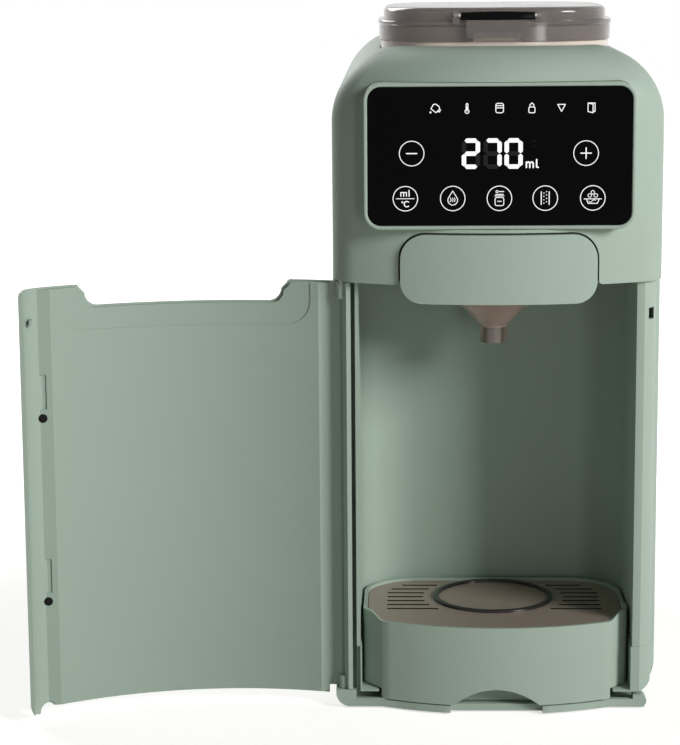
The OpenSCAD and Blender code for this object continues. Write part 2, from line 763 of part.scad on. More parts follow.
module hopper_body() color(clear_pink) difference() {
    union() {
        difference() {
            union() {
                hopper_volume(hopper_z, body_h + 2, cup_r, hopper_w);
                up(body_h, rim_z) polygon(hopper_plan(rim_w2));
                // arm and middle knuckle of the lid's hinge
                block(-11, 11, hopper_y + hopper_w, lid_pivot_y + 3, body_h + 0.4, body_h + 2);
                block(-11, 11, lid_pivot_y - 2.6, lid_pivot_y + 3, body_h + 0.4, lid_pivot_z);
                rod_x(lid_pivot_y, lid_pivot_z, -11, 11, knuckle_r);
            }
            hopper_volume(hopper_z + 3, far, cup_r - hopper_t, rim_w2 - hopper_t);
        }
        // catch for the latch
        block(-8, 8, hopper_y - rim_w2 - hopper_long - 0.8, hopper_y - rim_w2, body_h + 5.1, body_h + 7);
    }
    post(0, hopper_y, 0, hopper_z + 4, 6.5);
    post(0, funnel_y, 0, hopper_z + 4, 6.8);
    rod_x(lid_pivot_y, lid_pivot_z, -12, 12, lid_pin_r + pin_gap);
}

module hopper_seal() color(rubber) difference() {
    post(0, hopper_y, deck_z + deck_t, hopper_z, cup_r - 1);
    post(0, hopper_y, 0, far, cup_r - 5);
}

// plate over the outlet, so that only filled pockets pass
scraper_w = 34;
scraper_y = hopper_y - 2.3 * cup_r;

module scraper_plate() color(smoke) difference() {
    intersection() {
        post(0, hopper_y, wheel_z + wheel_t + 0.5, wheel_z + wheel_t + 2, cup_r - hopper_t - 0.05);
        up(0, far) polygon([[0, hopper_y + 4], [-scraper_w, scraper_y], [scraper_w, scraper_y]]);
    }
    post(0, hopper_y, 0, far, 12);
}

module metering_wheel() color("ivory") difference() {
    post(0, hopper_y, wheel_z, wheel_z + wheel_t, wheel_r);
    for (i = [0 : pocket_count - 1]) translate([0, hopper_y, 0]) rotate([0, 0, 360 * (i + 0.5) / pocket_count - 90])
        post(pocket_circle_r, 0, 0, far, 6.5);
    translate([0, hopper_y, wheel_z - 1]) linear_extrude(wheel_t - 0.5) square(dog + 0.6, center = true);
}

module stirrer() color("ivory") translate([0, hopper_y, wheel_z + wheel_t]) difference() {
    union() {
        cylinder(h = 20, r = 8, $fn = 48);
        for (i = [0 : 2]) rotate([0, 0, 120 * i + 30]) {
            translate([0, -2, 4]) cube([34, 4, 3]);
            translate([30, -2, 4]) cube([4, 4, 14]);
        }
    }
    translate([0, 0, 5]) cylinder(h = 20, r = 5, $fn = 48);
}

lid_z0 = body_h + 2.4;
lid_step_z = body_h + 11;
lid_top_z = body_h + lid_h;
latch_y = hopper_y - hopper_w - hopper_long - 0.7;
latch_z = body_h + 16.3;
latch_r = 2.35;
latch_w = 20;

module hopper_lid() color(smoke) difference() {
    union() {
        difference() {
            union() {
                up(lid_z0, lid_step_z + 0.5) polygon(hopper_plan(hopper_w + 0.9));
                up(lid_step_z, lid_step_z + 2.3) polygon(hopper_plan(hopper_w + 1.5));
                up(lid_step_z, lid_top_z) polygon(hopper_plan(hopper_w - 1.7));
            }
            up(lid_z0 - 1, lid_step_z) polygon(hopper_plan(rim_w2 + 0.7));
            up(lid_z0 - 1, lid_top_z - 2) polygon(hopper_plan(rim_w2 - 1.5));
            // the skirt's rear stretch is short, so that it clears the rim as the lid opens
            block(-far, far, hopper_y + 52, far, 0, lid_pivot_z - 1.5);
        }
        // knuckles at the rear and ears for the latch at the front
        both_sides() {
            rod_x(lid_pivot_y, lid_pivot_z, 11.4, 23, knuckle_r);
            block(11.4, 23, lid_pivot_y - 4.6, lid_pivot_y, lid_pivot_z - knuckle_r, lid_pivot_z + knuckle_r);
            block(latch_w + 1, latch_w + 4, latch_y - 2, latch_y + 4, lid_step_z + 1, latch_z + 2);
        }
    }
    block(-13, 13, latch_y - 9, hopper_y - rim_w2 + 2, 0, body_h + 7.5);
    rod_x(lid_pivot_y, lid_pivot_z, -24, 24, lid_pin_r);
    rod_x(latch_y, latch_z, -25, 25, 1);
}

module lid_seal() color(rubber) difference() {
    up(rim_z + 0.1, lid_step_z) polygon(hopper_plan(rim_w2 + 0.5));
    up(0, far) polygon(hopper_plan(rim_w2 - 1.5));
}

module lid_hinge_pin() color(steel) rod_x(lid_pivot_y, lid_pivot_z, -22.8, 22.8, lid_pin_r);

module lid_latch() color(black) difference() {
    union() {
        rod_x(latch_y, latch_z, -latch_w, latch_w, latch_r);
        block(-latch_w, latch_w, latch_y - 4.2, latch_y, latch_z - 2.3, latch_z + latch_r);
        block(-17, 17, latch_y - 4.2, latch_y - 2.4, body_h + 4.2, latch_z);
        block(-10, 10, latch_y - 2.6, latch_y - 1.2, body_h + 4.2, body_h + 5.6);
    }
    rod_x(latch_y, latch_z, -latch_w - 1, latch_w + 1, 1 + pin_gap);
}

module latch_pin() color(steel) rod_x(latch_y, latch_z, -latch_w - 3.8, latch_w + 3.8, 1);

// ---- water system ---------------------------------------------------------------------

pump_x = -46;
pump_y = chamber_y + 44;
heater_x = 45;
heater_y = pump_y;
heater_z0 = 26;
heater_z1 = 130;
pump_z = 40;
hose_r = 4;
power_board_y = chamber_y + 9;
board_places = [for (x = [-40, 8], z = [116, 184]) [x, z]];
spigot_z = bay_z - 12;

function bezier(p, n) = [for (i = [0 : n]) let (t = i / n, s = 1 - t)
    s * s * s * p[0] + 3 * s * s * t * p[1] + 3 * s * t * t * p[2] + t * t * t * p[3]];

// a round hose along points, its rings set square to the route
module hose(points, r) {
    n = 8;
    m = len(points);
    side = [0.31, 0.93, 0.2];
    rings = [for (i = [0 : m - 1])
        let (
            way = points[min(i + 1, m - 1)] - points[max(i - 1, 0)],
            t = way / norm(way),
            across = cross(t, side),
            u = across / norm(across),
            v = cross(t, u)
        )
        for (j = [0 : n - 1]) points[i] + r * (cos(360 * j / n) * u + sin(360 * j / n) * v)];
    walls = [for (i = [0 : m - 2], j = [0 : n - 1])
        let (a = i * n + j, b = i * n + (j + 1) % n) each [[a, b, a + n], [b, b + n, a + n]]];
    caps = concat(
        [for (j = [1 : n - 2]) [0, j + 1, j]],
        [for (j = [1 : n - 2]) [(m - 1) * n, (m - 1) * n + j, (m - 1) * n + j + 1]]
    );
    polyhedron(rings, concat([for (w = walls) [w[0], w[2], w[1]]], [for (c = caps) [c[0], c[2], c[1]]]));
}

module hot_water_nozzle() color(steel) difference() {
    union() {
        post(nozzle_x, nozzle_y, funnel_top_z + 3, deck_z + 12, 3.2);
        post(nozzle_x, nozzle_y, deck_z + deck_t, deck_z + deck_t + 2, 6);
    }
    post(nozzle_x, nozzle_y, 0, far, 1.8);
}

hot_start = [heater_x, heater_y, heater_z1 + 10];
hot_bend = [half_w - 22, hopper_y + 44, deck_z + 17];
hot_end = [nozzle_x, nozzle_y, deck_z + 12];
hot_over = hot_end + [15, 3, 9];
stub = 4;

function after_first(p) = [for (i = [1 : len(p) - 1]) p[i]];

module hot_hose() color("white") {
    rise = bezier([hot_start + [0, 0, stub], hot_start + [0, 0, 60], hot_bend + [0, 10, -60], hot_bend], 10);
    run = bezier([hot_bend, hot_bend + [0, -30, 0], hot_end + [44, 24, 6], hot_over], 8);
    drop = bezier([hot_over, hot_over + [-7, -2, 0], hot_end + [0, 0, 10], hot_end + [0, 0, stub]], 5);
    hose(concat([hot_start], rise, after_first(run), after_first(drop), [hot_end]), hose_r);
}

module water_heater() color(steel) difference() {
    union() {
        post(heater_x, heater_y, heater_z0, heater_z1, 18);
        post(heater_x, heater_y, heater_z1 - eps, heater_z1 + 10, 4);
        post(heater_x, heater_y, plate_z, heater_z0 + eps, 8);
        rod_x(heater_y, pump_z + 9, heater_x - 25, heater_x - 10, 4);
    }
    post(heater_x, heater_y, heater_z1 - 4, far, 2.4);
}

module pump_hose() color("white") {
    x0 = pump_x + 22;
    x1 = heater_x - 25;
    sag = [for (i = [0 : 4]) [x0 + stub + (x1 - x0 - 2 * stub) * i / 4, pump_y, pump_z + 9 - 4 * sin(45 * i)]];
    hose(concat([[x0, pump_y, pump_z + 9]], sag, [[x1, pump_y, pump_z + 9]]), hose_r);
}

module water_pump() color(black) union() {
    post(pump_x, pump_y, pump_z, pump_z + 20, 15);
    rod_x(pump_y, pump_z + 9, pump_x + 10, pump_x + 22, 3.6);
    rod_y(pump_x, pump_z + 9, pump_y + 10, pump_y + 20, 3.6);
}

module pump_motor() color(steel) post(pump_x, pump_y, plate_z, pump_z, 13);

module suction_hose() color("white") {
    inlet = [pump_x, pump_y + 20, pump_z + 9];
    outlet = [0, tank_y, spigot_z];
    way = bezier([inlet + [0, stub, 0], inlet + [0, 24, 0], outlet + [0, 0, -26], outlet + [0, 0, -stub]], 12);
    hose(concat([inlet], way, [outlet]), hose_r);
}

module power_board() color(board_green) difference() {
    union() {
        block(-64, 14, power_board_y, power_board_y + 1.6, 110, 190);
        block(-50, -26, power_board_y + 1.6, power_board_y + 17, 125, 150);
        block(-14, 4, power_board_y + 1.6, power_board_y + 14, 150, 172);
    }
    for (p = board_places) rod_y(p[0], p[1], power_board_y - 1, power_board_y + 2, 1.5);
}

module power_inlet() color(black) difference() {
    union() {
        block(33.2, 56.8, rear_y - 18, rear_y + 0.5, 14.2, 29.8);
        block(31, 59, rear_y, rear_y + 1.5, 12, 32);
    }
    for (x = [40.5, 49.5]) rod_y(x, 22, rear_y - 12, rear_y + 2, 4);
    block(40.5, 49.5, rear_y - 12, rear_y + 2, 18.5, 25.5);
}

module tank_dock() color(dark_green) difference() {
    union() {
        post(0, tank_y, bay_z + wall_t, dock_top_z, 18);
        post(0, tank_y, bay_z - 4, bay_z + wall_t + eps, 10);
        post(0, tank_y, spigot_z, bay_z, 4);
    }
    difference() {
        post(0, tank_y, bay_z + 1, far, 9.6);
        post(0, tank_y, 0, bay_z + 3.7, 1.6);
    }
    for (a = [0 : 120 : 240]) translate([0, tank_y, 0]) rotate([0, 0, a]) post(2.6, 0, spigot_z - 1, bay_z + 1.5, 0.9);
}

module tank_volume(d, z0, z1) up(z0, z1) polygon(panel(tank_w - d, tank_y0 + d, tank_y1 - d, 10 - d));

tank_top_z = body_h - 5.5;
tank_pivot_y = tank_y1 - 2.2;
tank_pivot_z = body_h - 0.8;
ear_x = 40;

module tank_body() color(smoke) difference() {
    union() {
        difference() {
            tank_volume(0, dock_top_z, tank_top_z);
            tank_volume(tank_t, dock_top_z + 2.5, far);
        }
        both_sides() block(ear_x, ear_x + 4, tank_y1 - 4.6, tank_y1, tank_top_z - 3, body_h + 1);
    }
    post(0, tank_y, 0, dock_top_z + 3, 9);
    rod_x(tank_pivot_y, tank_pivot_z, -ear_x - 5, ear_x + 5, 1.2);
}

module tank_valve() color(black) difference() {
    union() {
        post(0, tank_y, bay_z + 4, dock_top_z + 5, 9);
        post(0, tank_y, dock_top_z + 2.5, dock_top_z + 4.5, 13);
    }
    post(0, tank_y, 0, far, 5);
}

module valve_poppet() color(steel) {
    post(0, tank_y, dock_top_z + 5.2, dock_top_z + 7.2, 7.5);
    post(0, tank_y, bay_z + 4.2, dock_top_z + 5.3, 2);
}

module tank_lid() color(green) difference() {
    union() {
        tank_volume(-1.6, tank_top_z + 2.5, body_h + 1.5);
        tank_volume(tank_t + 0.6, tank_top_z - 2, tank_top_z + 3);
    }
    tank_volume(tank_t + 2.6, tank_top_z - 3, body_h - 0.6);
    both_sides() {
        block(ear_x - 0.6, ear_x + 4.6, tank_y1 - 9, tank_y1 + 3, 0, far);
        // room for the rim's rear stretch when the lid stands open
        block(-far, far, tank_y1 - 0.4, tank_y1 + 3, 0, far);
    }
    block(-14, 14, tank_y0 - 3, tank_y0 + 3, body_h - 1.2, far);
    rod_x(tank_pivot_y, tank_pivot_z, -ear_x - 10, ear_x + 10, 1.2 + pin_gap);
}

module tank_lid_pins() color(steel) both_sides() rod_x(tank_pivot_y, tank_pivot_z, ear_x - 5, ear_x + 9, 1.2);

// ---- door -----------------------------------------------------------------------------

door_z1 = head_z - door_top_gap;
skin_left_y = hinge_y + 5.3;
skin_right_y = corner_y + 0.9;
liner_end_y = wall_front_y - door_gap;
knuckle_h = 7;
magnet_x = corner_x + 8.6;
magnet_y = liner_end_y - 1.5;
magnet_zs = [66.3, head_z - 72.5];

module open_door() translate([hinge_x, hinge_y, 0]) rotate([0, 0, -door_open]) translate([-hinge_x, -hinge_y, 0]) children();

// the closed door seen from the front: a notch for the drawer, a rounded lower free corner
// that reaches round the base's stub, and a cut-out over the hinge lug; d inside its edge
module door_front(d) {
    z0 = door_z0 + d;
    z1 = door_z1 - d;
    zn = door_z1 - notch_h - d;
    stub_z = foot_h + stub_r;
    around = stub_r + 0.35;
    along_y(front_y - 5, corner_y + 5) polygon(concat(
        [[-half_w - 1, z1], [-half_w - 1, lug_z + 0.4], [-liner_x, lug_z + 0.4], [-liner_x, z0]],
        arc([stub_x, stub_z], around + d, 180 - asin((door_z0 - stub_z) / around), 0),
        arc([half_w - door_corner_r, door_lip_z + door_corner_r], door_corner_r - d,
            270 + asin((stub_x + around + 0.3 - half_w + door_corner_r) / door_corner_r), 360),
        [[half_w - d, z1], [notch_w + 1 + d, z1]],
        arc([notch_w - 9 + d, zn + 7], 7, 360, 270),
        arc([-notch_w + 9 - d, zn + 7], 7, 270, 180),
        [[-notch_w - 1 - d, z1]]
    ));
}

// a curved panel of the closed door, between two depths and up to an end at each side
module door_panel(d0, d1, y_left, y_right) difference() {
    up(0, head_z) polygon(plan(d0));
    up(-1, head_z + 1) polygon(plan(d1));
    block(-far, 0, y_left, far, -2, far);
    block(-1, far, y_right, far, -2, far);
}

module door_knuckle(z0, z1) intersection() {
    post(hinge_x, hinge_y, z0, z1, 2.7);
    up(z0, z1) polygon(plan(0));
}

module magnet_bores() for (z = magnet_zs) rod_y(magnet_x, z, magnet_y, liner_end_y + 1, magnet_r);

module door_skin() color(green) open_door() difference() {
    union() {
        intersection() {
            door_panel(0, skin_t, skin_left_y, skin_right_y);
            door_front(0);
        }
        door_knuckle(lug_z + 0.4, lug_z + 0.4 + knuckle_h);
        door_knuckle(door_z1 - knuckle_h - 2, door_z1);
        // tab that closes the door switch
        block(corner_x + 13, corner_x + 14.6, wall_front_y + 1.5, wall_front_y + 9, slot_z + 1.6, slot_z + 4.8);
    }
    post(hinge_x, hinge_y, -1, far, door_pin_r + pin_gap);
    magnet_bores();
}

module door_liner() color(dark_green) open_door() difference() {
    intersection() {
        door_panel(skin_t, door_t, liner_end_y, liner_end_y);
        door_front(1);
    }
    magnet_bores();
    for (z = magnet_zs) block(magnet_x - 2.4, magnet_x + 2.4, liner_end_y - 0.8, far, z + 5, z + 24);
    post(hinge_x, hinge_y, 0, far, 4.2);
}

module door_magnets() color(black) open_door() for (z = magnet_zs) rod_y(magnet_x, z, magnet_y, liner_end_y - 0.1, magnet_r);

module hinge_pins() color(steel) {
    post(hinge_x, hinge_y, 2.5, lug_z + knuckle_h, door_pin_r);
    post(hinge_x, hinge_y, door_z1 - knuckle_h - 1.5, head_z + 9, door_pin_r);
}

// plates behind the free side's wall, up to its rounded corner
catch_y = wall_front_y + 4.2;
catch_x = corner_x + sqrt(pow(rebate_r - wall_t, 2) - pow(corner_y - catch_y, 2)) - 0.3;

module catch_plates() color(steel) for (z = magnet_zs)
    block(liner_x, catch_x, catch_y, catch_y + 1.2, z - 9, z + 9);

module door_switch() color(black) union() {
    block(liner_x, liner_x + 6, wall_front_y + 12, wall_front_y + 20, slot_z - 6, slot_z + 10);
    block(liner_x + 4, liner_x + 6, wall_front_y + 10, wall_front_y + 12, slot_z + 1.5, slot_z + 5);
}

// ---- drip tray ------------------------------------------------------------------------

tray_w = chamber_w - tray_gap - tub_step;
tray_side_y = wall_front_y + 14;
tray_back_y = chamber_y - 6;
tray_bottom_z = floor_z + 0.3;
skirt_z = plate_z + 1.7;
grate_z = tray_front_z - 0.4 - grate_t;
arch_w = 23.7;
arch_h = 9.2;

// the tray seen from above, d inside its outer face
function tray_plan(d) = concat(
    bow_points(block_w - 4 - d, d, 8),
    [
        [block_w - d * 0.9, wall_front_y + 1 + d * 0.5], [tray_w - d, tray_side_y + d * 0.4],
        [tray_w - d, tray_back_y - 26 - d * 0.3], [tray_w - 13 - d * 0.8, tray_back_y - 6 - d * 0.8],
        [tray_w - 28 - d * 0.4, tray_back_y - d], [-tray_w + 28 + d * 0.4, tray_back_y - d],
        [-tray_w + 13 + d * 0.8, tray_back_y - 6 - d * 0.8], [-tray_w + d, tray_back_y - 26 - d * 0.3],
        [-tray_w + d, tray_side_y + d * 0.4], [-block_w + d * 0.9, wall_front_y + 1 + d * 0.5]
    ]
);

// rim heights seen from the front: low over the front block, an S step up to the sides
module rim_cut() along_y(front_y - 1, tray_side_y + 6) polygon([
    [-block_w + 1.5, tray_front_z], [block_w - 1.5, tray_front_z], [block_w + 1, tray_front_z + 2.4],
    [block_w + 5, tray_rim_z - 0.9], [tray_w + 2, tray_rim_z], [tray_w + 2, far],
    [-tray_w - 2, far], [-tray_w - 2, tray_rim_z], [-block_w - 5, tray_rim_z - 0.9],
    [-block_w - 1, tray_front_z + 2.4]
]);

module finger_arch(grow, y1) along_y(front_y, y1) polygon(concat(
    [[-arch_w - grow, 0], [arch_w + grow, 0]],
    [for (i = [10 : -1 : -10]) [(arch_w + grow) * i / 10, skirt_z + (arch_h + grow) * (1 - pow(i / 10, 2)) + 0.2]]
));

module drip_tray() color(green) difference() {
    union() {
        difference() {
            up(skirt_z, tray_rim_z) polygon(tray_plan(0));
            up(tray_bottom_z + tray_t, far) polygon(tray_plan(tray_t));
            // below the floor only the front skirt goes on down
            up(0, tray_bottom_z) polygon(tray_plan(tray_t));
            block(-far, far, wall_front_y + 4, far, 0, tray_bottom_z);
            both_sides() block(block_w, far, front_y, far, 0, tray_bottom_z);
        }
        // roof of the finger arch, inside the tray
        intersection() {
            finger_arch(2.2, tray_y + 14);
            up(skirt_z, far) polygon(tray_plan(0.5));
        }
        // rests for the plate
        intersection() {
            for (x = [-1, 1], y = [tray_side_y + 8, tray_back_y - 34])
                block(x * tray_w - 5, x * tray_w + 5, y - 4, y + 4, tray_bottom_z, grate_z);
            up(0, far) polygon(tray_plan(0.5));
        }
    }
    rim_cut();
    finger_arch(0, tray_y + 11.8);
}

plate_centre_y = front_y + 73.7;

module drip_plate() color([0.42, 0.38, 0.36]) difference() {
    union() {
        up(grate_z, grate_z + grate_t) polygon(tray_plan(tray_t + 0.4));
        post(0, plate_centre_y, grate_z, grate_z + grate_t + 1.5, ring_r);
    }
    post(0, plate_centre_y, grate_z + grate_t, far, ring_r - 2.5);
    // the slots stop short of the ring and of the chamfered back corners
    for (i = [0 : slot_count - 1]) {
        y = plate_centre_y - (slot_count / 2 - 1) * slot_pitch + slot_pitch * i;
        across = y - plate_centre_y;
        inner = sqrt(max(0, pow(ring_r + 6, 2) - pow(across, 2)));
        outer = min(61, tray_w - 13 - max(0, y - (tray_back_y - 24)) * 0.75);
        both_sides() block(
            max(inner, 27), outer, y - slot_w / 2, y + slot_w / 2, grate_z - 1, grate_z + grate_t + 1);
    }
}

base_plate();
base_feet();
base_screws();
base_tub();
body_shell();
chamber_liner();
rear_cover();
cover_screws();
head_shell();
head_floor();
drive_deck();
shaft_bush();
drive_gear();
motor_pinion();
dosing_motor();
display_bezel();
display_glass();
control_board();
board_screws();
drawer_rails();
drawer_front();
drawer_carrier();
mixing_funnel();
funnel_outlet();
hopper_body();
hopper_seal();
scraper_plate();
metering_wheel();
stirrer();
hopper_lid();
lid_seal();
lid_hinge_pin();
lid_latch();
latch_pin();
hot_water_nozzle();
hot_hose();
water_heater();
pump_hose();
water_pump();
pump_motor();
suction_hose();
power_board();
power_inlet();
tank_dock();
tank_body();
tank_valve();
valve_poppet();
tank_lid();
tank_lid_pins();
door_skin();
door_liner();
door_magnets();
hinge_pins();
catch_plates();
door_switch();
drip_tray();
drip_plate();
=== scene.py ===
"""The looks of the baby formula maker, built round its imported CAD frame.

Sizes are in millimetres in the classes below and become metres when a mesh is made.
The object stands on z = 0, its front faces -Y and +X is to the right.
"""

from __future__ import annotations

import json
import logging
import math
from dataclasses import dataclass, field
from enum import Enum
from typing import Callable, Iterable, Sequence

import bmesh
import bpy
from mathutils import Matrix, Vector

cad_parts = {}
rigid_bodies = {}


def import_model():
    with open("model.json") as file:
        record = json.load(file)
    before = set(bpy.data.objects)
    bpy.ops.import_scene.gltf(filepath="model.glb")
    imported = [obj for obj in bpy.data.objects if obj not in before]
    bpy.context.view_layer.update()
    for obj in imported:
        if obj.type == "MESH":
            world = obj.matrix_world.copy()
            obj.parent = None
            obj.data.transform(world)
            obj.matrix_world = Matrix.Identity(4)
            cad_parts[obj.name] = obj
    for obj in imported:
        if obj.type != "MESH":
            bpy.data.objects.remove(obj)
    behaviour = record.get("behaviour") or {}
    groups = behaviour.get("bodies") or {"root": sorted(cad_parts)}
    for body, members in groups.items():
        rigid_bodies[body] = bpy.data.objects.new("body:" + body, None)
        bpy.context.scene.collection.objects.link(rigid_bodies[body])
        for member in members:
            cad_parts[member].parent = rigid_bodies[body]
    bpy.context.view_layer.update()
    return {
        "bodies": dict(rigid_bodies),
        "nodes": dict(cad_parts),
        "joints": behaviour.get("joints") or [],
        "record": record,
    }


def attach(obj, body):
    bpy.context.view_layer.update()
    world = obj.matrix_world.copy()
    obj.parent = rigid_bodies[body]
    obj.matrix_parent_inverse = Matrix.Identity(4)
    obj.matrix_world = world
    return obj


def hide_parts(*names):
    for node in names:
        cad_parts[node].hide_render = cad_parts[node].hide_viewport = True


LOG = logging.getLogger("formula_maker")
MM = 0.001
FAR = 400.0  # past every face of the machine, in millimetres
PLASTIC_IOR = 1.49
GLOSSY_BELOW = 0.25  # roughness under which a finish shows smudges
IMAGE_LONG_SIDE = 745

Point2 = tuple[float, float]
Point3 = tuple[float, float, float]
Color = tuple[float, float, float]
Line = tuple[Sequence[Point2], float, bool]


class Axis(Enum):
    """The direction that an outline is drawn out along."""

    X = "x"
    Y = "y"
    Z = "z"


class Cut(Enum):
    """What a boolean does with its tool."""

    TAKE = "DIFFERENCE"
    ADD = "UNION"
    KEEP = "INTERSECT"


# ---- sizes that several pieces share ------------------------------------------------------


@dataclass(frozen=True)
class Body:
    """Sizes of the housing, the same as the CAD frame's."""

    half_width: float = 90.0
    front: float = -150.0
    rear: float = 150.0
    top: float = 368.0
    head_floor: float = 242.0
    bow: float = 190.0
    front_corner: float = 20.0
    rear_corner: float = 25.0
    top_corner: float = 40.0
    brow: float = 26.0
    casing_back: float = -99.0
    wall: float = 2.5
    chamber_half: float = 75.8
    opening: Point2 = (64.4, 67.4)
    liner: float = 2.0
    wall_front: float = -129.02
    hinge_x: float = -85.2
    hinge_y: float = -124.32
    hopper_y: float = -45.0
    funnel_y: float = -76.0

    @property
    def bow_centre(self) -> float:
        """Y of the centre of the front's bow."""
        return self.front + self.bow

    @property
    def corner_x(self) -> float:
        """X of the centre of the right front corner."""
        return self.half_width - self.front_corner

    @property
    def corner_y(self) -> float:
        """Y of the centre of a front corner."""
        return self.bow_centre - math.sqrt((self.bow - self.front_corner) ** 2 - self.corner_x**2)

    def outline(self, inset: float, step: float = 2.0) -> list[Point2]:
        """The body seen from above.

        Args:
            inset: Distance inside the outer face.
            step: Degrees between two points of the bow.

        Returns:
            The closed outline, anticlockwise from the left end of the bow.
        """
        tilt = math.degrees(math.asin(self.corner_x / (self.bow - self.front_corner)))
        cx, cy = self.corner_x, self.corner_y
        rx, ry = self.half_width - self.rear_corner, self.rear - self.rear_corner
        bow = arc(0, self.bow_centre, self.bow - inset, 270 - tilt, 270 + tilt, step / 2)
        right = arc(cx, cy, self.front_corner - inset, 270 + tilt, 360, step * 2)
        rear = arc(rx, ry, self.rear_corner - inset, 0, 90, step * 3)
        rear += arc(-rx, ry, self.rear_corner - inset, 90, 180, step * 3)
        left = arc(-cx, cy, self.front_corner - inset, 180, 270 - tilt, step * 2)
        side = [(self.half_width - inset, y) for y in (-90.0, -60.0, 0.0, 60.0)]
        other = [(-x, y) for x, y in reversed(side)]
        return bow[1:] + right[1:] + side + rear + other + left

    def _ring(self, z: float, inset: float) -> list[Point3]:
        """The head's outline at one height, drawn in over the brow and the top corners."""
        side = self.top - self.top_corner
        lift = max(0.0, z - side)
        width = self.half_width - self.top_corner
        width += math.sqrt(max(0.0, (self.top_corner - inset) ** 2 - lift**2))
        rise = max(0.0, z - (self.top - self.brow))
        back = self.brow - inset - math.sqrt(max(0.0, (self.brow - inset) ** 2 - rise**2))
        ring = []
        for x, y in self.outline(inset):
            share = (self.casing_back - 4 - y) / (self.casing_back - 18 - self.front)
            share = min(1.0, max(0.0, share))
            share = share * share * (3 - 2 * share)
            ring.append((x * width / (self.half_width - inset), y + back * share, z))
        return ring

    def head(self, inset: float, z0: float) -> Shape:
        """The head's volume, rounded at its brow and top corners.

        Args:
            inset: Distance inside the outer face.
            z0: Height where it starts.

        Returns:
            The closed solid.
        """
        heights = {z0, z0 + 1.5, z0 + 20.0, z0 + 45.0, z0 + 70.0, self.top - self.top_corner}
        for radius, steps in ((self.top_corner - inset, 22), (self.brow - inset, 14)):
            centre = self.top - inset - radius
            heights |= {
                centre + radius * math.sin(math.pi / 2 * i / steps) for i in range(steps + 1)
            }
        tidy: list[float] = []
        for z in sorted(z for z in heights if z <= self.top - inset):
            if not tidy or z - tidy[-1] > 0.12:
                tidy.append(z)
        tidy[-1] = self.top - inset
        return Shape.loft([self._ring(z, inset) for z in tidy])

    def hopper_opening(self) -> Shape:
        """The opening in the head's top for the hopper."""
        outline = superellipse(*self.opening, self.hopper_y)
        return Shape.prism(outline, self.top - 12, self.top + 1)


def arc(cx: float, cy: float, r: float, a0: float, a1: float, step: float = 5.0) -> list[Point2]:
    """Points of a circular arc.

    Args:
        cx: First coordinate of the centre.
        cy: Second coordinate of the centre.
        r: Radius.
        a0: Start angle in degrees.
        a1: End angle in degrees.
        step: Largest angle between two points.

    Returns:
        The points from a0 to a1, both ends included.
    """
    count = max(2, math.ceil(abs(a1 - a0) / step))
    turn = [math.radians(a0 + (a1 - a0) * i / count) for i in range(count + 1)]
    return [(cx + r * math.cos(t), cy + r * math.sin(t)) for t in turn]


def rounded(
    w0: float, w1: float, h0: float, h1: float, r: float, step: float = 7.5
) -> list[Point2]:
    """A rectangle with rounded corners.

    Args:
        w0: Lowest first coordinate.
        w1: Highest first coordinate.
        h0: Lowest second coordinate.
        h1: Highest second coordinate.
        r: Corner radius.
        step: Degrees between two points of a corner.

    Returns:
        The outline, anticlockwise.
    """
    return (
        arc(w1 - r, h0 + r, r, 270, 360, step)
        + arc(w1 - r, h1 - r, r, 0, 90, step)
        + arc(w0 + r, h1 - r, r, 90, 180, step)
        + arc(w0 + r, h0 + r, r, 180, 270, step)
    )


def softened(points: Sequence[Point2], radius: float, step: float = 6.0) -> list[Point2]:
    """Rounds the corners of a closed outline.

    Args:
        points: The outline's corners, in order.
        radius: The largest radius of a corner; short sides get less.
        step: Degrees between two points of a corner.

    Returns:
        The rounded outline.
    """
    out: list[Point2] = []
    for i, here in enumerate(points):
        p, before = Vector(here), Vector(points[i - 1])
        after = Vector(points[(i + 1) % len(points)])
        a, b = (before - p).normalized(), (after - p).normalized()
        turn = math.pi - a.angle(b)
        if turn < math.radians(4):
            out.append(here)
            continue
        cut = min(
            radius * math.tan(turn / 2), 0.48 * (before - p).length, 0.48 * (after - p).length
        )
        count = max(2, math.ceil(math.degrees(turn) / step))
        for j in range(count + 1):
            t = j / count
            q = p + a * cut * (1 - t) ** 2 + b * cut * t**2
            out.append((q.x, q.y))
    return out


def superellipse(
    a: float, b: float, cy: float, power: float = 3.4, count: int = 144
) -> list[Point2]:
    """The rounded square of the hopper and its lid.

    Args:
        a: Half width.
        b: Half depth.
        cy: Y of the centre.
        power: Exponent of the curve.
        count: Number of points.

    Returns:
        The outline, anticlockwise.
    """
    out = []
    for i in range(count):
        c, s = math.cos(math.tau * i / count), math.sin(math.tau * i / count)
        x = a * math.copysign(abs(c) ** (2 / power), c)
        y = b * math.copysign(abs(s) ** (2 / power), s)
        out.append((x, cy + y))
    return out


# ---- meshes -------------------------------------------------------------------------------


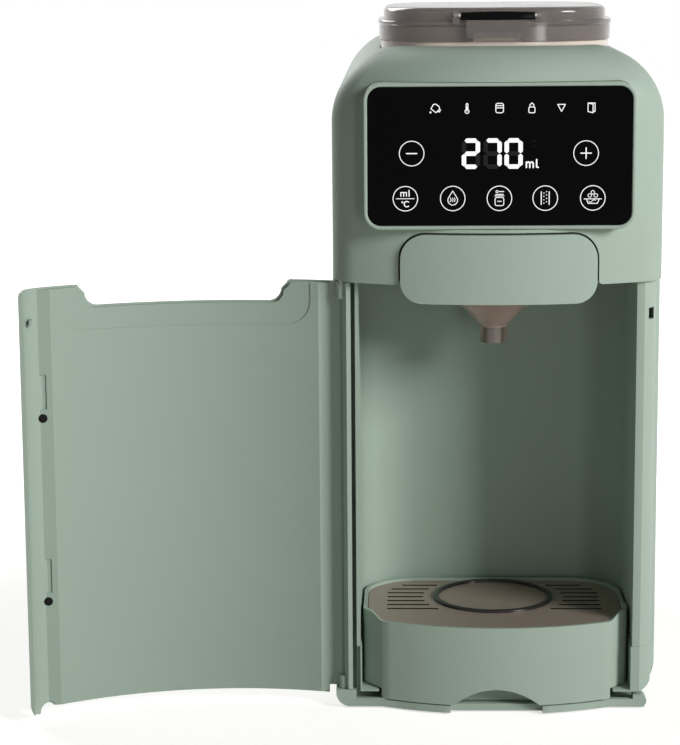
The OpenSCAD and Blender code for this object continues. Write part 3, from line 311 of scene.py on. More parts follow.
class Shape:
    """A closed mesh in the making, in millimetres."""

    def __init__(self, verts: Sequence[Point3], faces: Sequence[Sequence[int]]) -> None:
        """Keeps the mesh with all its faces turned outwards.

        Args:
            verts: Places of the vertices.
            faces: Vertex numbers of each face.
        """
        mesh = bpy.data.meshes.new("shape")
        mesh.from_pydata([tuple(v) for v in verts], [], [tuple(f) for f in faces])
        self.mesh = self._outward(mesh)

    @staticmethod
    def _outward(mesh: bpy.types.Mesh) -> bpy.types.Mesh:
        """Merges doubles and turns the faces outwards."""
        work = bmesh.new()
        work.from_mesh(mesh)
        bmesh.ops.remove_doubles(work, verts=work.verts, dist=1e-4)
        bmesh.ops.recalc_face_normals(work, faces=work.faces)
        work.to_mesh(mesh)
        work.free()
        return mesh

    @classmethod
    def prism(cls, outline: Sequence[Point2], lo: float, hi: float, axis: Axis = Axis.Z) -> Shape:
        """An outline drawn out along an axis.

        Args:
            outline: (x, y) along Z, (x, z) along Y, or (y, z) along X.
            lo: Where it starts.
            hi: Where it ends.
            axis: The direction.

        Returns:
            The closed solid.
        """
        place: dict[Axis, Callable[[float, float, float], Point3]] = {
            Axis.Z: lambda a, b, c: (a, b, c),
            Axis.Y: lambda a, b, c: (a, c, b),
            Axis.X: lambda a, b, c: (c, a, b),
        }
        ring = place[axis]
        return cls.loft(
            [[ring(a, b, lo) for a, b in outline], [ring(a, b, hi) for a, b in outline]]
        )

    @classmethod
    def loft(cls, rings: Sequence[Sequence[Point3]], closed: bool = False) -> Shape:
        """A skin over rings with equal numbers of points.

        Args:
            rings: The rings, in order.
            closed: True joins the last ring to the first, instead of capping both.

        Returns:
            The closed solid.
        """
        n = len(rings[0])
        verts = [p for ring in rings for p in ring]
        faces: list[list[int]] = []
        last = len(rings) if closed else len(rings) - 1
        for i in range(last):
            for j in range(n):
                a, b = i * n + j, i * n + (j + 1) % n
                c, d = ((i + 1) % len(rings)) * n + (j + 1) % n, ((i + 1) % len(rings)) * n + j
                faces.append([a, b, c, d])
        if not closed:
            faces.append(list(range(n)))
            faces.append([last * n + j for j in range(n)])
        return cls(verts, faces)

    @classmethod
    def turned(cls, profile: Sequence[Point2], cx: float, cy: float, steps: int = 96) -> Shape:
        """A profile turned round a vertical axis.

        Args:
            profile: Closed outline as (radius, height).
            cx: X of the axis.
            cy: Y of the axis.
            steps: Number of steps round the axis.

        Returns:
            The closed solid.
        """
        rings = []
        for i in range(steps):
            c, s = math.cos(math.tau * i / steps), math.sin(math.tau * i / steps)
            rings.append([(cx + r * c, cy + r * s, z) for r, z in profile])
        return cls.loft(rings, closed=True)

    @classmethod
    def of_mesh(cls, mesh: bpy.types.Mesh) -> Shape:
        """A shape round a mesh that is ready as it is."""
        new = cls.__new__(cls)
        new.mesh = mesh
        return new

    @classmethod
    def copy_of(cls, node: bpy.types.Object) -> Shape:
        """The CAD node's mesh with its triangles merged and its flat faces made whole."""
        work = bmesh.new()
        work.from_mesh(node.data)
        bmesh.ops.scale(work, vec=(1 / MM,) * 3, verts=work.verts)
        bmesh.ops.remove_doubles(work, verts=work.verts, dist=1e-3)
        bmesh.ops.dissolve_limit(
            work, angle_limit=math.radians(0.6), verts=work.verts, edges=work.edges, delimit=set()
        )
        mesh = bpy.data.meshes.new("shape")
        work.to_mesh(mesh)
        work.free()
        mesh.materials.clear()
        return cls.of_mesh(mesh)

    def changed(self, tool: Shape, how: Cut) -> Shape:
        """Combines this solid with another.

        Args:
            tool: The other solid, used up by this.
            how: Whether it is taken away, added or kept in common.

        Returns:
            This shape, changed.
        """
        holder = bpy.data.objects.new("holder", self.mesh)
        cutter = bpy.data.objects.new("cutter", tool.mesh)
        for item in (holder, cutter):
            bpy.context.scene.collection.objects.link(item)
        step = holder.modifiers.new("cut", "BOOLEAN")
        step.object, step.operation, step.solver = cutter, how.value, "EXACT"
        result = bpy.data.meshes.new_from_object(
            holder.evaluated_get(bpy.context.evaluated_depsgraph_get())
        )
        for item in (holder, cutter):
            bpy.data.objects.remove(item)
        bpy.data.meshes.remove(self.mesh)
        bpy.data.meshes.remove(tool.mesh)
        self.mesh = result
        return self

    def minus(self, *tools: Shape) -> Shape:
        """Takes the tools away."""
        for tool in tools:
            self.changed(tool, Cut.TAKE)
        return self

    def plus(self, *tools: Shape) -> Shape:
        """Adds the tools."""
        for tool in tools:
            self.changed(tool, Cut.ADD)
        return self

    def within(self, tool: Shape) -> Shape:
        """Keeps only what lies inside the tool."""
        return self.changed(tool, Cut.KEEP)

    def beside(self, *others: Shape) -> Shape:
        """Puts other solids into the same mesh without cutting anything."""
        work = bmesh.new()
        work.from_mesh(self.mesh)
        for other in others:
            work.from_mesh(other.mesh)
            bpy.data.meshes.remove(other.mesh)
        work.to_mesh(self.mesh)
        work.free()
        return self

    def moved(self, matrix: Matrix) -> Shape:
        """Turns or shifts the mesh, in millimetres."""
        self.mesh.transform(matrix)
        return self


def block(x0: float, x1: float, y0: float, y1: float, z0: float, z1: float) -> Shape:
    """A box between two corners, used as a tool or a rib."""
    return Shape.prism([(x0, y0), (x1, y0), (x1, y1), (x0, y1)], z0, z1)


# ---- finishes -----------------------------------------------------------------------------


class Tree:
    """A node tree with short calls to fill it."""

    def __init__(self, tree: bpy.types.NodeTree) -> None:
        """Keeps the tree that the nodes go into."""
        self.tree = tree

    def add(
        self, kind: str, settings: dict[str, object] | None = None, **inputs: object
    ) -> bpy.types.Node:
        """Adds a node.

        Args:
            kind: Blender's name of the node type.
            settings: Attributes to set on the node.
            **inputs: Values or sockets for inputs, with _ for a space.

        Returns:
            The new node.
        """
        node = self.tree.nodes.new(kind)
        for name, value in (settings or {}).items():
            setattr(node, name, value)
        for name, value in inputs.items():
            key: object = int(name[1:]) if name[1:].isdigit() else name.replace("_", " ")
            self.put(node.inputs[key], value)
        return node

    def put(self, socket: bpy.types.NodeSocket, value: object) -> None:
        """Links a socket to another, or sets its value."""
        if isinstance(value, bpy.types.NodeSocket):
            self.tree.links.new(value, socket)
        else:
            socket.default_value = value

    def math(self, operation: str, a: object, b: object = 0.0) -> bpy.types.NodeSocket:
        """One step of arithmetic."""
        return self.add("ShaderNodeMath", {"operation": operation}, _0=a, _1=b).outputs[0]


class Effects:
    """The shader groups that several finishes share."""

    def __init__(self) -> None:
        """Builds each group once."""
        self.grain = self._moulded_grain()
        self.brushed = self._brushed_grain()
        self.smudges = self._smudges()

    @staticmethod
    def _group(
        name: str, inputs: dict[str, float], outputs: Iterable[str]
    ) -> tuple[Tree, bpy.types.Node, bpy.types.Node]:
        """Starts a shader group.

        Args:
            name: Name of the group.
            inputs: Names of the inputs and what they start with.
            outputs: Names of the outputs.

        Returns:
            The tree, its input node and its output node.
        """
        tree = bpy.data.node_groups.new(name, "ShaderNodeTree")
        for key, value in inputs.items():
            tree.interface.new_socket(
                key, in_out="INPUT", socket_type="NodeSocketFloat"
            ).default_value = value
        for key in outputs:
            tree.interface.new_socket(key, in_out="OUTPUT", socket_type="NodeSocketFloat")
        made = Tree(tree)
        return made, made.add("NodeGroupInput"), made.add("NodeGroupOutput")

    def _moulded_grain(self) -> bpy.types.NodeTree:
        """The fine spark-eroded texture of moulded plastic, and its slow change of tone."""
        tree, given, out = self._group(
            "moulded_grain", {"Scale": 2600.0, "Tone scale": 9.0}, ("Height", "Tone", "Mottle")
        )
        place = tree.add("ShaderNodeTexCoord").outputs["Object"]
        fine = tree.add(
            "ShaderNodeTexNoise", Vector=place, Scale=given.outputs[0], Detail=3.0, Roughness=0.6
        )
        pits = tree.add(
            "ShaderNodeTexVoronoi", Vector=place,
            Scale=tree.math("MULTIPLY", given.outputs[0], 0.45)
        )
        slow = tree.add("ShaderNodeTexNoise", Vector=place, Scale=given.outputs[1], Detail=2.0)
        mottle = tree.add(
            "ShaderNodeTexNoise", Vector=place, Scale=tree.math("MULTIPLY", given.outputs[1], 30.0),
            Detail=4.0
        )
        height = tree.math(
            "ADD", tree.math("MULTIPLY", fine.outputs[0], 0.6),
            tree.math("MULTIPLY", pits.outputs[0], 0.4)
        )
        for i, value in enumerate((height, slow.outputs[0], mottle.outputs[0])):
            tree.put(out.inputs[i], value)
        return tree.tree

    def _brushed_grain(self) -> bpy.types.NodeTree:
        """Long fine lines along X, as on rolled or brushed sheet."""
        tree, given, out = self._group(
            "brushed_grain", {"Scale": 900.0, "Stretch": 40.0}, ("Height", "Tone")
        )
        place = tree.add("ShaderNodeTexCoord").outputs["Object"]
        parts = tree.add("ShaderNodeSeparateXYZ", Vector=place)
        along = tree.math("DIVIDE", parts.outputs[0], given.outputs[1])
        line = tree.add("ShaderNodeCombineXYZ", X=along, Y=parts.outputs[1], Z=parts.outputs[2])
        fine = tree.add(
            "ShaderNodeTexNoise", Vector=line.outputs[0], Scale=given.outputs[0], Detail=4.0
        )
        slow = tree.add(
            "ShaderNodeTexNoise", Vector=line.outputs[0],
            Scale=tree.math("MULTIPLY", given.outputs[0], 0.12)
        )
        tree.put(out.inputs[0], fine.outputs[0])
        tree.put(out.inputs[1], slow.outputs[0])
        return tree.tree

    def _smudges(self) -> bpy.types.NodeTree:
        """Soft patches where gloss has been touched or wiped."""
        tree, given, out = self._group("smudges", {"Scale": 26.0}, ("Mask",))
        place = tree.add("ShaderNodeTexCoord").outputs["Object"]
        cloud = tree.add(
            "ShaderNodeTexNoise", Vector=place, Scale=given.outputs[0], Detail=5.0, Roughness=0.65
        )
        ramp = tree.add("ShaderNodeMapRange", Value=cloud.outputs[0])
        ramp.inputs["From Min"].default_value = 0.42
        ramp.inputs["From Max"].default_value = 0.75
        tree.put(out.inputs[0], ramp.outputs[0])
        return tree.tree


@dataclass(frozen=True)
class Finish:
    """A finish of this machine, with the numbers of its material."""

    name: str
    slot: str
    color: Color
    roughness: float
    rough_spread: float = 0.06
    tone: float = 0.04
    grain: float = 0.02
    grain_scale: float = 2600.0
    metallic: float = 0.0
    transmission: float = 0.0
    brushed: bool = False
    glow: float = 0.0
    specular: float = 0.5

    def material(self, effects: Effects) -> bpy.types.Material:
        """Builds the material.

        Args:
            effects: The shared shader groups.

        Returns:
            The finished material.
        """
        made = bpy.data.materials.new(self.name)
        made.use_nodes = True
        tree = Tree(made.node_tree)
        shader = made.node_tree.nodes["Principled BSDF"]
        for key, value in {
            "Metallic": self.metallic,
            "IOR": PLASTIC_IOR,
            "Transmission Weight": self.transmission,
            "Emission Strength": self.glow,
            "Specular IOR Level": self.specular,
        }.items():
            shader.inputs[key].default_value = value
        texture = effects.brushed if self.brushed else effects.grain
        group = tree.add("ShaderNodeGroup", {"node_tree": texture}, Scale=self.grain_scale)
        height, tone = group.outputs["Height"], group.outputs["Tone"]
        rough = tone if self.brushed else group.outputs["Mottle"]
        if self.roughness < GLOSSY_BELOW:
            rough = tree.add("ShaderNodeGroup", {"node_tree": effects.smudges}).outputs["Mask"]
        darker = tuple(c * (1 - self.tone) for c in self.color)
        lighter = tuple(min(1.0, c * (1 + self.tone)) for c in self.color)
        blend = tree.add("ShaderNodeMix", {"data_type": "RGBA"})
        tree.put(blend.inputs["Factor"], tone)
        tree.put(blend.inputs[6], (*darker, 1.0))
        tree.put(blend.inputs[7], (*lighter, 1.0))
        tree.put(shader.inputs["Emission Color" if self.glow else "Base Color"], blend.outputs[2])
        if self.glow:
            shader.inputs["Base Color"].default_value = (0.01, 0.01, 0.01, 1.0)
        low = max(0.02, self.roughness - self.rough_spread / 2)
        span = tree.add("ShaderNodeMapRange", Value=rough)
        span.inputs["To Min"].default_value = low
        span.inputs["To Max"].default_value = low + self.rough_spread
        tree.put(shader.inputs["Roughness"], span.outputs[0])
        if self.grain > 0:
            bump = tree.add(
                "ShaderNodeBump", Height=height, Strength=0.35, Distance=self.grain * MM
            )
            tree.put(shader.inputs["Normal"], bump.outputs[0])
        return made


class Look(Enum):
    """Every finish of the machine."""

    GREEN = Finish(
        "sage_green_plastic", "green_plastic", (0.350, 0.432, 0.366), 0.46, 0.08, 0.02, 0.02,
        specular=0.12
    )
    INNER = Finish(
        "inner_green_plastic", "inner_green_plastic", (0.340, 0.424, 0.357), 0.52, 0.08, 0.02, 0.02,
        specular=0.06
    )
    SMOKE = Finish(
        "smoky_clear_plastic", "smoky_clear", (0.27, 0.25, 0.24), 0.08, 0.05, 0.04, 0.0,
        transmission=0.86
    )
    LID = Finish(
        "smoky_lid_plastic", "smoky_clear", (0.38, 0.345, 0.325), 0.14, 0.06, 0.05, 0.0,
        transmission=0.80, specular=0.25
    )
    FUNNEL = Finish(
        "funnel_clear_plastic", "pale_clear", (0.78, 0.64, 0.56), 0.16, 0.08, 0.05, 0.0,
        transmission=0.62
    )
    TIP = Finish(
        "funnel_tip_plastic", "smoky_clear", (0.42, 0.34, 0.30), 0.14, 0.06, 0.05, 0.0,
        transmission=0.80
    )
    PALE = Finish(
        "pale_clear_plastic", "pale_clear", (1.0, 0.85, 0.76), 0.14, 0.06, 0.04, 0.0,
        transmission=0.34
    )
    GLOSS = Finish(
        "black_gloss_plastic", "black_gloss", (0.004, 0.004, 0.0045), 0.10, 0.06, 0.1, 0.0,
        specular=0.03
    )
    GLASS = Finish(
        "display_black_glass", "display_black", (0.0015, 0.0015, 0.002), 0.05, 0.03, 0.1, 0.0,
        specular=0.03
    )
    LIT = Finish("lit_marks", "display_black", (1.0, 1.0, 1.0), 0.5, 0.0, 0.0, 0.0, glow=1.0)
    UNLIT = Finish(
        "unlit_marks", "display_black", (0.016, 0.016, 0.017), 0.3, 0.02, 0.0, 0.0, specular=0.05
    )
    PLATE = Finish(
        "drip_plate_metal", "plate_metal", (0.36, 0.285, 0.235), 0.36, 0.10, 0.05, 0.02, 900.0,
        metallic=0.35, brushed=True, specular=0.3
    )
    RING = Finish(
        "coaster_ring", "black_gloss", (0.020, 0.019, 0.018), 0.16, 0.08, 0.08, 0.0, specular=0.4
    )
    STEEL = Finish(
        "plain_steel", "steel", (0.62, 0.62, 0.60), 0.30, 0.14, 0.05, 0.02, 1400.0, metallic=1.0,
        brushed=True
    )
    RUBBER = Finish("black_rubber", "rubber", (0.02, 0.02, 0.02), 0.75, 0.10, 0.1, 0.05, 1500.0)
    SILICONE = Finish(
        "white_silicone", "silicone", (0.80, 0.80, 0.77), 0.40, 0.08, 0.03, 0.01, transmission=0.25
    )
    IVORY = Finish("ivory_plastic", "ivory_plastic", (0.72, 0.69, 0.60), 0.38, 0.08, 0.03, 0.01)
    BLACK = Finish("black_plastic", "black_plastic", (0.022, 0.022, 0.024), 0.45, 0.10, 0.1, 0.03)
    # Painted shade: a near-black finish on the walls of the drip plate's slots, standing for the
    # shade inside them. The walls are the plate's own metal.
    SLOT_SHADE = Finish(
        "slot_wall_painted_shade", "black_plastic", (0.006, 0.005, 0.004), 0.6, 0.10, 0.1, 0.0,
        specular=0.05
    )
    MAGNET = Finish(
        "black_magnet", "black_plastic", (0.006, 0.006, 0.006), 0.5, 0.10, 0.1, 0.02, specular=0.1
    )
    BOARD = Finish("circuit_board", "board", (0.02, 0.12, 0.06), 0.32, 0.10, 0.12, 0.02, 900.0)


class Palette:
    """The materials of the finishes, each built once."""

    def __init__(self) -> None:
        """Builds the shared groups; materials follow when they are asked for."""
        self.effects = Effects()
        self.made: dict[Look, bpy.types.Material] = {}

    def get(self, look: Look) -> bpy.types.Material:
        """The material of a finish."""
        if look not in self.made:
            self.made[look] = look.value.material(self.effects)
        return self.made[look]


# ---- geometry nodes -----------------------------------------------------------------------


class Repeater:
    """A geometry nodes tree that sets one part on every point, turned and sized there."""

    def __init__(self) -> None:
        """Builds the tree."""
        tree = bpy.data.node_groups.new("repeat_part", "GeometryNodeTree")
        face = tree.interface
        face.new_socket("Points", in_out="INPUT", socket_type="NodeSocketGeometry")
        face.new_socket("Part", in_out="INPUT", socket_type="NodeSocketObject")
        face.new_socket("Size", in_out="INPUT", socket_type="NodeSocketFloat").default_value = 1.0
        face.new_socket("Finish", in_out="INPUT", socket_type="NodeSocketMaterial")
        face.new_socket("Result", in_out="OUTPUT", socket_type="NodeSocketGeometry")
        made = Tree(tree)
        given, out = made.add("NodeGroupInput"), made.add("NodeGroupOutput")
        part = made.add("GeometryNodeObjectInfo", Object=given.outputs["Part"])
        turn = made.add(
            "GeometryNodeInputNamedAttribute", {"data_type": "FLOAT_VECTOR"}, Name="turn"
        )
        stretch = made.add(
            "GeometryNodeInputNamedAttribute", {"data_type": "FLOAT_VECTOR"}, Name="stretch"
        )
        angles = made.add("FunctionNodeEulerToRotation", Euler=turn.outputs[0])
        size = made.add(
            "ShaderNodeVectorMath", {"operation": "SCALE"}, _0=stretch.outputs[0],
            Scale=given.outputs["Size"]
        )
        spread = made.add(
            "GeometryNodeInstanceOnPoints", Points=given.outputs["Points"],
            Instance=part.outputs["Geometry"]
        )
        made.put(spread.inputs["Rotation"], angles.outputs[0])
        made.put(spread.inputs["Scale"], size.outputs[0])
        real = made.add("GeometryNodeRealizeInstances", Geometry=spread.outputs[0])
        paint = made.add(
            "GeometryNodeSetMaterial", Geometry=real.outputs[0], Material=given.outputs["Finish"]
        )
        made.put(out.inputs[0], paint.outputs[0])
        self.tree = tree

    def spread(
        self,
        part: Shape,
        places: Sequence[Point3],
        finish: bpy.types.Material,
        turns: Sequence[Point3] | None = None,
        stretches: Sequence[Point3] | None = None,
        size: float = 1.0,
    ) -> Shape:
        """Sets the part on each place.

        Args:
            part: The part, made round its own origin.
            places: Where each copy goes.
            finish: The material of the copies.
            turns: Euler angles of each copy in radians.
            stretches: Scale of each copy along its own axes.
            size: Scale of all the copies.

        Returns:
            One plain mesh with all the copies.
        """
        points = bpy.data.meshes.new("places")
        points.from_pydata([tuple(p) for p in places], [], [])
        for name, rows, usual in (
            ("turn", turns, (0.0, 0.0, 0.0)), ("stretch", stretches, (1.0, 1.0, 1.0))
        ):
            layer = points.attributes.new(name, "FLOAT_VECTOR", "POINT")
            for i in range(len(places)):
                layer.data[i].vector = rows[i] if rows else usual
        holder = bpy.data.objects.new("places", points)
        source = bpy.data.objects.new("part", part.mesh)
        for item in (holder, source):
            bpy.context.scene.collection.objects.link(item)
        step = holder.modifiers.new("repeat", "NODES")
        step.node_group = self.tree
        values = {"Part": source, "Size": size, "Finish": finish}
        for socket in self.tree.interface.items_tree:
            if socket.in_out == "INPUT" and socket.name in values:
                step[socket.identifier] = values[socket.name]
        result = bpy.data.meshes.new_from_object(
            holder.evaluated_get(bpy.context.evaluated_depsgraph_get())
        )
        holder.modifiers.remove(step)
        for item in (holder, source):
            bpy.data.objects.remove(item)
        return Shape.of_mesh(result)


# ---- the workshop: from a shape to a finished piece ----------------------------------------


class Workshop:
    """Turns shapes into finished pieces that ride on the frame's bodies."""

    def __init__(self, frame: dict) -> None:
        """Keeps the frame and looks up which body each node is on.
        """
        self.nodes: dict[str, bpy.types.Object] = frame["nodes"]
        bodies = frame["record"]["behaviour"]["bodies"]
        self.body_of = {node: body for body, nodes in bodies.items() for node in nodes}
        self.palette = Palette()
        self.repeater = Repeater()
        self.left = set(self.nodes)

    def piece(
        self,
        name: str,
        shape: Shape,
        look: Look,
        stands_for: Sequence[str] = (),
        body: str = "",
        bevel: float = 0.5,
        smooth: float = 32.0,
        segments: int = 2,
        inlay: tuple[Look, Callable[[Vector, Vector], bool]] | None = None,
    ) -> bpy.types.Object:
        """Finishes a shape as a piece of the object.

        Args:
            name: Name of the piece.
            shape: Its mesh in millimetres.
            look: Its finish.
            stands_for: CAD nodes that it replaces.
            body: The body it rides on, when it replaces no node.
            bevel: Width of the rounding of its edges in millimetres.
            smooth: Angle in degrees under which an edge is shaded smooth.
            segments: Steps of the rounding.
            inlay: A second finish, and the test of a face's centre and normal that gives it.

        Returns:
            The finished piece.
        """
        mesh = shape.mesh
        mesh.name = name
        mesh.transform(Matrix.Scale(MM, 4))
        mesh.shade_smooth()
        mesh.set_sharp_from_angle(angle=math.radians(smooth))
        mesh.materials.clear()
        mesh.materials.append(self.palette.get(look))
        if inlay:
            mesh.materials.append(self.palette.get(inlay[0]))
            for face in mesh.polygons:
                face.material_index = int(inlay[1](face.center / MM, face.normal))
        made = bpy.data.objects.new(name, mesh)
        bpy.context.scene.collection.objects.link(made)
        if bevel > 0:
            edge = made.modifiers.new("edges", "BEVEL")
            edge.width, edge.segments, edge.limit_method = bevel * MM, segments, "ANGLE"
            edge.angle_limit = math.radians(max(smooth, 30.0))
            edge.harden_normals = True
            edge.use_clamp_overlap = True
        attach(made, body or self.body_of[stands_for[0]])
        if stands_for:
            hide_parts(*stands_for)
            self.left -= set(stands_for)
        LOG.info("piece %s: %d faces", name, len(mesh.polygons))
        return made

    def refine(
        self, node: str, look: Look, bevel: float = 0.4, smooth: float = 28.0
    ) -> bpy.types.Object:
        """Replaces a CAD node by a copy with whole faces, soft edges and its finish.

        Args:
            node: Name of the CAD node.
            look: Its finish.
            bevel: Width of the rounding of its edges in millimetres.
            smooth: Angle in degrees under which an edge is shaded smooth.

        Returns:
            The finished piece.
        """
        return self.piece(
            node + "_finished", Shape.copy_of(self.nodes[node]), look, [node], bevel=bevel,
            smooth=smooth
        )

    def dress(self, node: str, look: Look) -> None:
        """Gives a CAD node that stays as it is its finish."""
        data = self.nodes[node].data
        data.materials.clear()
        data.materials.append(self.palette.get(look))
        self.left.discard(node)


# ---- the sub-assemblies -------------------------------------------------------------------


@dataclass
class Head:
    """The casing round the display, and the display itself."""

    shop: Workshop
    body: Body = field(default_factory=Body)
    glass_w: float = 70.2
    glass_z0: float = 274.6
    glass_z1: float = 348.4
    glass_r: float = 7.2
    rim: float = 2.0
    drawer_w: float = 53.9
    drawer_z1: float = 270.6
    drawer_r: float = 14.8
    lip_r: float = 2.2
    recess: float = 0.6
    rim_depth: float = 16.4
    glass_back: float = 2.8
    ledge: float = 2.0

    def drawer_opening(self) -> list[Point2]:
        """The drawer's opening seen from the front, flared where it meets the lower edge."""
        w, z0, r = self.drawer_w, self.body.head_floor, self.lip_r
        top = self.drawer_z1 - self.drawer_r
        return (
            [(w + r, z0 - 5)]
            + arc(w + r, z0 + r, r, 270, 180, 15)
            + arc(w - self.drawer_r, top, self.drawer_r, 0, 90, 4)
            + arc(self.drawer_r - w, top, self.drawer_r, 90, 180, 4)
            + arc(-w - r, z0 + r, r, 360, 270, 15)
            + [(-w - r, z0 - 5)]
        )

    def casing(self) -> None:
        """The bowed front casing with its rounded brow, display recess and drawer opening."""
        b = self.body
        shell = b.head(0.0, b.head_floor)
        shell.minus(b.head(b.wall, b.head_floor - 2))
        shell.within(block(-120, 120, b.front - 5, b.casing_back, 200, FAR))
        grow, r = self.rim + 0.2, self.glass_r + self.rim
        low, high = self.glass_z0 - grow, self.glass_z1 + grow
        recess = rounded(-self.glass_w - grow, self.glass_w + grow, low, high, r)
        shell.minus(
            Shape.prism(recess, b.front - 5, b.front + 40, Axis.Y),
            Shape.prism(self.drawer_opening(), b.front - 5, b.front + 25, Axis.Y),
            b.hopper_opening(),
        )
        self.shop.piece(
            "head_casing", shell, Look.GREEN, ["head_shell"], bevel=0.7, smooth=26, segments=3
        )

    def display(self) -> None:
        """The raised rim and the black glass."""
        y, w, r = self.body.front + self.recess, self.glass_w, self.glass_r
        z0, z1 = self.glass_z0, self.glass_z1
        rim, step = self.rim, self.ledge
        outer = rounded(-w - rim, w + rim, z0 - rim, z1 + rim, r + rim)
        window = rounded(-w + step, w - step, z0 + step, z1 - step, r - step)
        bezel = Shape.prism(outer, y, y + self.rim_depth, Axis.Y)
        bezel.minus(
            Shape.prism(rounded(-w, w, z0, z1, r), y - 1, y + self.glass_back, Axis.Y),
            Shape.prism(window, y - 1, y + 18, Axis.Y),
        )
        self.shop.piece("display_rim", bezel, Look.GREEN, ["display_bezel"], bevel=0.7, segments=3)
        pane = rounded(-w + 0.1, w - 0.1, z0 + 0.1, z1 - 0.1, r - 0.1)
        glass = Shape.prism(pane, y + 1.0, y + self.glass_back, Axis.Y)
        self.shop.piece("display_cover_glass", glass, Look.GLASS, ["display_glass"], bevel=0.25)

    def build(self) -> None:
        """Makes the pieces of the head."""
        self.casing()
        self.display()
        DisplayMarks(self.shop).build()


